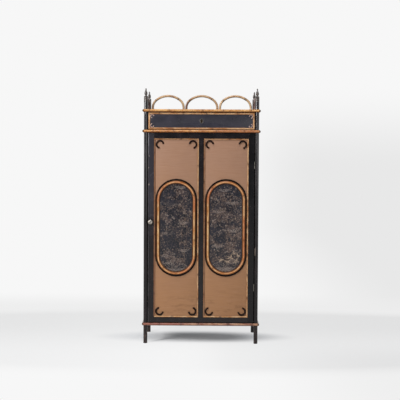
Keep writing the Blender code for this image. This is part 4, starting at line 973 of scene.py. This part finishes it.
def drawer():
    high, wide = DRAWER_HIGH - DRAWER_Z, DRAWER_X
    seam = DRAWER_T - LOCK_T
    front = [(-wide, -high), (wide, -high), (wide, high), (-wide, high)]
    plate("drawer_front_face", [front, keyhole()], DOOR_FACE, seam, 0.0006, DRAWER_BLACK, "drawer_front")
    notch = [(LOCK_X, high), (LOCK_X, high - LOCK_H), (-LOCK_X, high - LOCK_H), (-LOCK_X, high)]
    plate("drawer_front_back", [front[:3] + notch + front[3:]], DOOR_FACE + seam, LOCK_T, 0.0003, DRAWER_EDGE)
    field_w = 2 * (DRAWER_X - DRAWER_MARGIN - DRAWER_BORDER_W)
    field_h = DRAWER_HIGH - DRAWER_LOW - 2 * (DRAWER_MARGIN + DRAWER_BORDER_W)
    scrolls("drawer", cab(0, DOOR_FACE, DRAWER_Z), (field_w, field_h), SMALL_SCROLL_D, SMALL_SCROLL_STROKE,
            "drawer", SMALL_SCROLL_CANE, (0.8, 0.8))
    strip_frame("drawer_border", cab(0, DOOR_FACE - SEAT, DRAWER_Z), field_w + 2 * DRAWER_BORDER_W,
                field_h + 2 * DRAWER_BORDER_W, DRAWER_BORDER_W, DRAWER_BORDER_T, (0.7, 0.85, 0.8, 0.9),
                "drawer", seed=23)
    y = DOOR_FACE - SEAT - DRAWER_BORDER_T
    nails = [cab(x, y, DRAWER_Z + sz * (field_h + DRAWER_BORDER_W) / 2)
             for x in (-0.31, -0.16, 0, 0.16, 0.31) for sz in (-1, 1)]
    nails += [cab(sx * (field_w + DRAWER_BORDER_W) / 2, y, DRAWER_Z) for sx in (-1, 1)]
    heads("drawer_border_nails", nails, -Y, "drawer", **PIN)


def escutcheon():
    """The oval keyhole plate: a flat field inside a raised rim, held by two pins."""
    front = DOOR_FACE - SEAT - PLATE_T
    oval = [(PLATE_W * math.cos(a), PLATE_H * math.sin(a)) for a in turns(48)]
    plate("keyhole_escutcheon_plate", [oval, keyhole()], front + 0.0004, 0.0011, 0.0002, DARK_BRASS,
          "keyhole_escutcheon")
    bm = bmesh.new()
    rings = []
    for a in turns(48):
        row = []
        for inset, lift in ((0.0, 0.0), (0.0, 0.0011), (0.0004, 0.0015), (0.0019, 0.0015), (0.0024, 0.0009),
                            (0.0024, 0.0)):
            row.append(bm.verts.new(cab((PLATE_W - inset) * math.cos(a), front + PLATE_T - lift,
                                        DRAWER_Z + (PLATE_H - inset) * math.sin(a))))
        rings.append(row)
    for one, two in zip(rings, rings[1:] + rings[:1]):
        bridge(bm, one, two)
    settle("keyhole_escutcheon_rim", bm, [RIM_METAL], "drawer", angle=50)
    pins = [cab(0, front + 0.0004, DRAWER_Z + z) for z in (-0.0126, 0.0126)]
    heads("keyhole_escutcheon_pins", pins, -Y, "drawer", radius=0.0008, height=0.0005, material=BRASS)


# Gilt ornament on the plaques: generic sprays, blossoms, clouds, rocks and water

FIELD_R, FIELD_STRAIGHT, CELL = 104.0, 362.0, 5
FILL_TONES = (0.2, 0.4, 0.5, 0.6)


def turned(x, z, angle, along, across=0.0):
    """The place that lies along and across a direction from a point."""
    c, s = math.cos(angle), math.sin(angle)
    return x + along * c - across * s, z + along * s + across * c


def cell(x, z):
    return round(x / CELL), round(z / CELL)


class Ornament:
    """Raised lines and leaves in millimetres about a plaque's middle, kept inside the ring."""

    def __init__(self, seed):
        self.draw = random.Random(seed)
        self.between = self.draw.uniform
        self.choice = self.draw.choice
        self.lines = []
        self.shapes = []
        self.taken = set()

    def inside(self, x, z, margin=0.0):
        return math.hypot(x, max(abs(z) - FIELD_STRAIGHT / 2, 0)) < FIELD_R - margin

    def free(self, x, z, reach):
        return not any(cell(x + a, z + b) in self.taken for a in (-reach, reach) for b in (-reach, reach))

    def line(self, points, width, tone, taper=True):
        """A line of the given middle width that thins towards its ends, cut where it leaves the field."""
        parts = [[]]
        for k, (x, z) in enumerate(points):
            share = k / max(len(points) - 1, 1)
            if self.inside(x, z):
                parts[-1].append((x, z, width * (0.35 + 0.65 * math.sin(math.pi * share) if taper else 1.0)))
                self.taken.add(cell(x, z))
            else:
                parts.append([])
        self.lines += [(part, tone) for part in parts if len(part) > 1]

    def shape(self, points, tone):
        if all(self.inside(x, z, 1.0) for x, z in points):
            self.shapes.append((points, tone))
            self.taken |= {cell(x, z) for x, z in points}

    def leaf(self, x, z, angle, length, width, tone, solid=0.35):
        points = []
        for a in turns(8):
            across = width / 2 * math.sin(a) * (0.55 + 0.45 * math.cos(a / 2) ** 2)
            points.append(turned(x, z, angle, length * (0.5 - 0.5 * math.cos(a)), across))
        if self.draw.random() < solid:
            self.shape(points, tone)
        else:
            self.line(points + points[:1], 0.75, tone, False)
            self.line([turned(x, z, angle, length * t) for t in (0, 0.45, 0.85)], 0.7, tone)

    def blossom(self, x, z, radius, tone, petals=5):
        """Petals round a solid heart, the larger ones in outline with a line along them."""
        turn = self.between(0, 1)
        for p in range(petals):
            a = 2 * math.pi * (p + turn) / petals
            points = [turned(x, z, a, radius * (0.64 + 0.36 * math.cos(b)), radius * 0.38 * math.sin(b))
                      for b in turns(7)]
            if radius > 6:
                self.line(points + points[:1], 0.8, tone, False)
                self.line([turned(x, z, a, radius * t) for t in (0.25, 0.45, 0.65)], 0.8, tone)
            else:
                self.shape(points, tone)
        self.shape([turned(x, z, a, radius * 0.22) for a in (0, 1.05, 2.1, 3.14, 4.19, 5.24)], 1.0)

    def bloom(self, x, z, size):
        """A large flower with five leaves under it."""
        self.blossom(x, z, size, 1.0, 7)
        for _ in range(5):
            self.leaf(x, z, self.between(0, 6.28), size * 1.9, 6, 0.9, 0.6)

    def branch(self, x, z, angle, length, width, depth, tone, flowers=0.3, droop=0.0):
        """A crooked branch with twigs, leaves and blossoms."""
        points = []
        bend = self.between(-0.03, 0.03)
        for k in range(int(length / 5) + 1):
            points.append((x, z))
            angle += bend + self.between(-0.16, 0.16) - droop * math.cos(angle)
            x, z = turned(x, z, angle, 5)
            if depth and k > 1 and self.draw.random() < 0.24:
                turn = angle + self.choice((-1, 1)) * self.between(0.5, 1.1)
                reach = length * self.between(0.35, 0.6)
                self.branch(x, z, turn, reach, width * 0.6, depth - 1, tone, flowers, droop)
            if depth < 2 and self.draw.random() < 0.6:
                turn = angle + self.choice((-1, 1)) * self.between(0.5, 1.2)
                if not self.free(*turned(x, z, turn, 8), 1.5):
                    continue
                if self.draw.random() < flowers:
                    self.blossom(*turned(x, z, turn, 6), self.between(4.2, 8.5), self.choice((0.1, 0.5)))
                else:
                    self.leaf(x, z, turn, self.between(8, 15), self.between(3.0, 5.5),
                              self.choice((0.2, 0.45, 0.6)))
        self.line(points, width, tone)

    def grass(self, x, z, size, tone):
        for k in range(self.draw.randint(5, 8)):
            lean = self.between(-0.9, 0.9)
            self.line([(x + k * 0.8 + size * t * lean * t, z + size * t * (1 - 0.25 * t * abs(lean)))
                       for t in (0, 0.2, 0.4, 0.6, 0.8, 1)], 1.1, tone)

    def rock(self, x, z, width, height, tone):
        """A craggy outline with a few strokes inside it."""
        points = []
        for k in range(15):
            t = k / 14
            rise = math.sin(math.pi * t) ** 0.6 * (0.75 + 0.25 * self.draw.random())
            points.append((x + width * (t - 0.5), z + height * rise))
        self.line(points, 2.5, tone, False)
        for a, b in points[2:13:2]:
            self.line([(a, b - 2), (a + self.between(-2, 2), b - height * 0.3),
                       (a + self.between(-4, 4), b - height * 0.55)], 1.7, tone)
        for _ in range(7):
            a = x + width * self.between(-0.35, 0.35)
            b = z + height * self.between(0.1, 0.5)
            self.leaf(a, b, self.between(-0.3, 0.3), self.between(5, 10), 2.4, tone)

    def cloud(self, x, z, width, tone=0.0):
        """A band of scallops over three wavering lines."""
        count = max(3, round(width / 15))
        top = []
        for k in range(count):
            rise = 4 + 3 * math.sin(math.pi * (k + 0.5) / count)
            for q in range(7):
                a = math.pi * (1 - q / 6)
                top.append((x - width / 2 + width * (k + 0.5 + 0.5 * math.cos(a)) / count,
                            z + 2 + rise * math.sin(a)))
        self.line(top, 2.1, tone, False)
        for drop, share in ((0, 1.0), (-3.4, 0.82), (-6.6, 0.6)):
            self.line([(x + width * share * (t / 10 - 0.5), z + drop + 0.6 * math.sin(t)) for t in range(11)],
                      1.7, tone)

    def water(self, z, z_high, tone):
        """Rows of overlapping scales, a traditional wave pattern."""
        radius, row = 13.0, 0
        while z < z_high:
            x = -FIELD_R - radius * (row % 2)
            while x < FIELD_R + radius:
                for share in (1.0, 0.66, 0.33):
                    arc = [turned(x, z, math.pi * q / 8, radius * share) for q in range(9)]
                    self.line(arc, 1.4, tone, False)
                x += 2 * radius
            z += radius * 0.62
            row += 1

    def stalk(self, x, z, length, lean, tone):
        """A jointed reed stalk with clusters of narrow leaves."""
        spots = [(x + lean * t + 6 * math.sin(t / 70), z + t) for t in range(0, length + 1, 6)]
        for side in (-1.4, 1.4):
            self.line([(a + side, b) for a, b in spots], 0.9, tone, False)
        for a, b in spots[3::4]:
            self.line([(a - 2.6, b), (a + 2.6, b + 0.4)], 1.4, tone, False)
            turn = self.choice((-1, 1))
            for _ in range(self.draw.randint(3, 5)):
                angle = math.pi / 2 - turn * self.between(0.9, 2.3)
                self.leaf(a + turn * 2.5, b + 1, angle, self.between(13, 21), self.between(2.4, 3.4),
                          self.choice((0.2, 0.5)))

    def bird(self, x, z, size, angle, tone):
        """A small flying bird: body, two spread wings and a forked tail."""
        for turn, length, width, back in (
                (0, 1.0, 0.32, -0.5), (1.2, 0.95, 0.36, 0.05), (-1.9, 0.8, 0.3, 0.05),
                (2.9, 0.7, 0.14, 0.35), (-2.95, 0.7, 0.14, 0.35)):
            self.leaf(*turned(x, z, angle, back * size), angle + turn, size * length, size * width, tone)

    def fill(self, seed):
        """Small sprigs and blossoms wherever there is still room, but for a few dark gaps."""
        for _ in range(6000):
            x, z = self.between(-100, 100), self.between(-285, 285)
            gap = noise.noise(Vector((x / 42, z / 42, seed))) > 0.3
            if gap or not self.inside(x, z, 3) or not self.free(x, z, 3.0):
                continue
            tone = self.choice(FILL_TONES)
            if self.draw.random() < 0.2:
                self.blossom(x, z, self.between(3.0, 4.6), tone)
                continue
            angle = self.between(0, 2 * math.pi)
            for turn in (0, 2.0, -2.1, 1.0, -1.0)[:self.draw.randint(3, 4)]:
                self.leaf(x, z, angle + turn, self.between(5, 9), self.between(1.9, 3.0), tone, 0.8)

    def build(self, name, centre):
        bm = bmesh.new()
        node_map = bm.loops.layers.uv.new("nodes")

        def put(x, z, lift):
            return bm.verts.new(centre + X * (x * 0.001) + Z * (z * 0.001) - Y * (lift * 0.001))

        def paint(faces, tone):
            for face in faces:
                for loop in face.loops:
                    loop[node_map].uv = (0, tone)

        for points, tone in self.lines:
            rows = []
            for k, (x, z, width) in enumerate(points):
                ax, az, _ = points[max(k - 1, 0)]
                bx, bz, _ = points[min(k + 1, len(points) - 1)]
                reach = math.hypot(bx - ax, bz - az) or 1
                nx, nz = -(bz - az) / reach, (bx - ax) / reach
                half = width / 2
                rows.append([put(x + nx * s * half, z + nz * s * half, lift)
                             for s, lift in ((-1, -0.05), (-0.55, 0.3), (0.55, 0.3), (1, -0.05))])
            for one, two in zip(rows, rows[1:]):
                paint(bridge(bm, one, two), tone)
            paint([bm.faces.new(rows[0]), bm.faces.new(rows[-1])], tone)
        for points, tone in self.shapes:
            mx = sum(p[0] for p in points) / len(points)
            mz = sum(p[1] for p in points) / len(points)
            low = [put(x, z, -0.05) for x, z in points]
            high = [put(mx + (x - mx) * 0.86, mz + (z - mz) * 0.86, 0.28) for x, z in points]
            top = [put(mx, mz, 0.42)] * len(points)
            paint([bm.faces.new(low)] + bridge(bm, low, high) + bridge(bm, high, top), tone)
        return settle(name, bm, [GILT], "door", angle=25)


# For each plaque its two seeds, and its figures by function name in the order they are drawn
DESIGNS = {
    "left": (7, 1.5, {
        "water": [(-292, -268, 0.05)],
        "rock": [(-48, -258, 92, 40, 0.1), (40, -262, 78, 26, 0.2), (-72, -196, 44, 28, 0.1)],
        "stalk": [(-66, -180, 190, 0.06, 0.35)],
        "branch": [(60, -240, 1.9, 290, 3.6, 2, 0.55, 0.45), (20, -60, 1.2, 250, 3.0, 2, 0.5, 0.5),
                   (-90, 60, 0.4, 150, 2.4, 2, 0.45, 0.3), (92, 236, 3.6, 150, 2.4, 2, 0.4, 0.25, 0.05)],
        "cloud": [(-40, 150, 90), (46, 30, 84), (-50, -40, 80), (30, 262, 80), (52, -150, 74)],
        "bird": [(-52, 218, 17, 0.4, 0.7), (-14, 236, 14, 0.2, 0.7), (52, 96, 16, 2.7, 0.7)],
        "grass": [(x, -236, 24, 0.4) for x in (-86, -20, 6, 70)],
    }),
    "right": (19, 4.5, {
        "water": [(-292, -262, 0.05)],
        "rock": [(50, -246, 86, 46, 0.1), (-44, -250, 92, 30, 0.2), (66, -170, 52, 26, 0.1)],
        "bloom": [(34, -196, 15), (66, -214, 13), (12, -222, 12), (52, -166, 12), (78, -182, 11),
                  (-30, -210, 12)],
        "branch": [(-60, -225, 1.25, 250, 3.6, 2, 0.5, 0.4), (30, -180, 1.75, 210, 3.0, 2, 0.45, 0.5),
                   (70, 280, 4.3, 190, 2.6, 2, 0.5, 0.15, 0.06),
                   (-60, 270, 5.0, 170, 2.4, 2, 0.4, 0.15, 0.06), (-96, 20, 0.5, 170, 2.6, 2, 0.55, 0.35)],
        "stalk": [(80, -120, 150, -0.05, 0.3)],
        "cloud": [(36, 160, 96), (-46, 104, 78), (48, -20, 84), (-48, -120, 78), (-10, 244, 70)],
        "bird": [(40, 214, 16, 2.5, 0.75), (62, 62, 15, 0.6, 0.75), (-62, 190, 14, 0.3, 0.75)],
        "grass": [(x, -228, 22, 0.45) for x in (-80, -30, 14, 84)],
    }),
}


def ornaments():
    for side, word in SIDES:
        draw_seed, gap_seed, figures = DESIGNS[word]
        art = Ornament(draw_seed)
        for kind, places in figures.items():
            for place in places:
                getattr(art, kind)(*place)
        art.fill(gap_seed)
        art.build(f"medallion_ornament_{word}", cab(side * OPENING_X, PLAQUE_FACE, PLAQUE_Z))


# The studio

def paper():
    """Pale paper that takes the cabinet's shadow, and that a camera sees as evenly lit further off, but for
    painted shade: a darker band behind the cabinet like a cove's, a painted shadow off to the right and a
    darker front right.
    """
    look = Look("studio_paper", None, "#eeeeee", Specular_IOR_Level=0.1)
    soft = look.noise(0.9, detail=2)
    look.layer(look.span(soft, 0.35, 0.65), "#f2f2f2")
    x, y, z = look.split(look.place)
    apart = look.length(look.vector(look.times(look.calc("ADD", x, 0.04), 0.31),
                                    look.calc("SUBTRACT", y, 0.035), 0.0))
    level = look.calc("MAXIMUM", look.span(apart, 0.075, 0.225, 0.1, 0.85), look.span(apart, 0.1, 1.1))
    rays = look.node("ShaderNodeLightPath").outputs
    seen = look.calc("MAXIMUM", rays["Is Camera Ray"],
                     look.calc("MAXIMUM", rays["Is Glossy Ray"], rays["Is Transmission Ray"]))
    # Painted cove shade: a darker band of floor behind the cabinet.
    painted_cove_shade = look.times(look.span(y, -0.5, 0.5), look.span(y, 1.9, 1.1))
    glow = look.mix(painted_cove_shade, "#f7f7f7", "#eeeeee")
    # Painted shade: the floor darker towards the front right.
    glow = look.mix(look.times(look.span(x, 0.2, 1.1), look.span(y, 0.0, -0.7)), glow, "#efefef")
    # Painted shadow of the cabinet on the wall and floor off to its right.
    painted_wall_shadow = look.times(look.span(x, 0.25, 1.9), look.span(z, 2.4, 0.9), look.span(y, 0.6, 1.8))
    inputs = {"Color": look.mix(painted_wall_shadow, glow, "#e8e8e8"), "Strength": 1.0}
    lit = look.node("ShaderNodeEmission", inputs).outputs[0]
    both = look.node("ShaderNodeMixShader", {0: look.times(seen, level), 1: look.shader.outputs[0], 2: lit})
    look.feed(look.tree.nodes["Material Output"].inputs["Surface"], both.outputs[0])
    return look.finish(look.span(soft, 0.3, 0.7, 0.7, 0.8))


def studio():
    bend = [k * math.pi / 16 for k in range(1, 8)]
    plan = [(-8.5, -9.0), (-8.5, -3.0), (-8.5, 3.0)]
    plan += [(-5.5 - 3 * math.cos(a), 6 + 3 * math.sin(a)) for a in bend] + [(-5.5, 9.0), (5.5, 9.0)]
    plan += [(5.5 + 3 * math.sin(a), 6 + 3 * math.cos(a)) for a in bend]
    plan += [(8.5, 3.0), (8.5, -3.0), (8.5, -9.0)]
    cove = 1.2
    rise = [(0.0, 0.0)]
    rise += [(cove * math.sin(a), cove - cove * math.cos(a))
             for a in [math.pi / 2 * k / 10 for k in range(1, 11)]]
    rise.append((cove, 7.5))
    bm = bmesh.new()
    lines = []
    for out, height in rise:
        row = []
        for px, py in plan:
            inward = Vector((px, max(py, 0) * 0.6)).normalized() * (cove - out)
            row.append(bm.verts.new((px - inward.x, py - inward.y, height)))
        lines.append(row)
    for one, two in zip(lines, lines[1:]):
        bridge(bm, one, two, closed=False)
    bm.faces.new(lines[0])
    mesh = mesh_of("studio_sweep", bm, paper())
    mesh.shade_smooth()
    link("studio_sweep", mesh)

    world = bpy.data.worlds.new("studio_light")
    world.use_nodes = True
    sky = world.node_tree.nodes["Background"].inputs
    sky["Color"].default_value = (0.78, 0.85, 0.96, 1)
    sky["Strength"].default_value = 0.34
    bpy.context.scene.world = world

    for name, place, aim, size, power in (
        ("key", (-3.9, -3.7, 2.9), (0, 0, 0.8), (1.0, 1.7), 165),
        ("fill", (2.6, -4.4, 1.2), (0, 0, 0.7), (2.2, 1.6), 20),
        ("top", (-0.4, -2.2, 5.2), (0, 0, 0.5), (2.4, 1.6), 95),
    ):
        lamp = bpy.data.lights.new(name, "AREA")
        lamp.shape = "RECTANGLE"
        lamp.size, lamp.size_y = size
        lamp.energy = power
        hung = link(name, lamp)
        hung.location = place
        hung.rotation_euler = (Vector(aim) - Vector(place)).to_track_quat("-Z", "Y").to_euler()


def camera():
    data = bpy.data.cameras.new("camera")
    data.lens = 79.254
    data.shift_y = -0.03715
    data.sensor_width = 36
    made = link("camera", data)
    yaw, pitch, roll = (math.radians(a) for a in (0.309, 90 - 2.4, 0.302))
    turn = Matrix.Rotation(yaw, 4, "Z") @ Matrix.Rotation(pitch, 4, "X") @ Matrix.Rotation(roll, 4, "Z")
    made.matrix_world = Matrix.Translation((0.0231, -5.8924, 1.2772)) @ turn
    bpy.context.scene.camera = made
    bpy.context.scene.view_settings.view_transform = "Standard"


studio()
camera()
posts()
for body, width, material, edge, nodes in EASED:
    for node in nodes.split():
        eased(node, material, edge, body, width)
rods()
gallery()
door_panels()
knob()
hinge_screws()
drawer()
escutcheon()
ornaments()
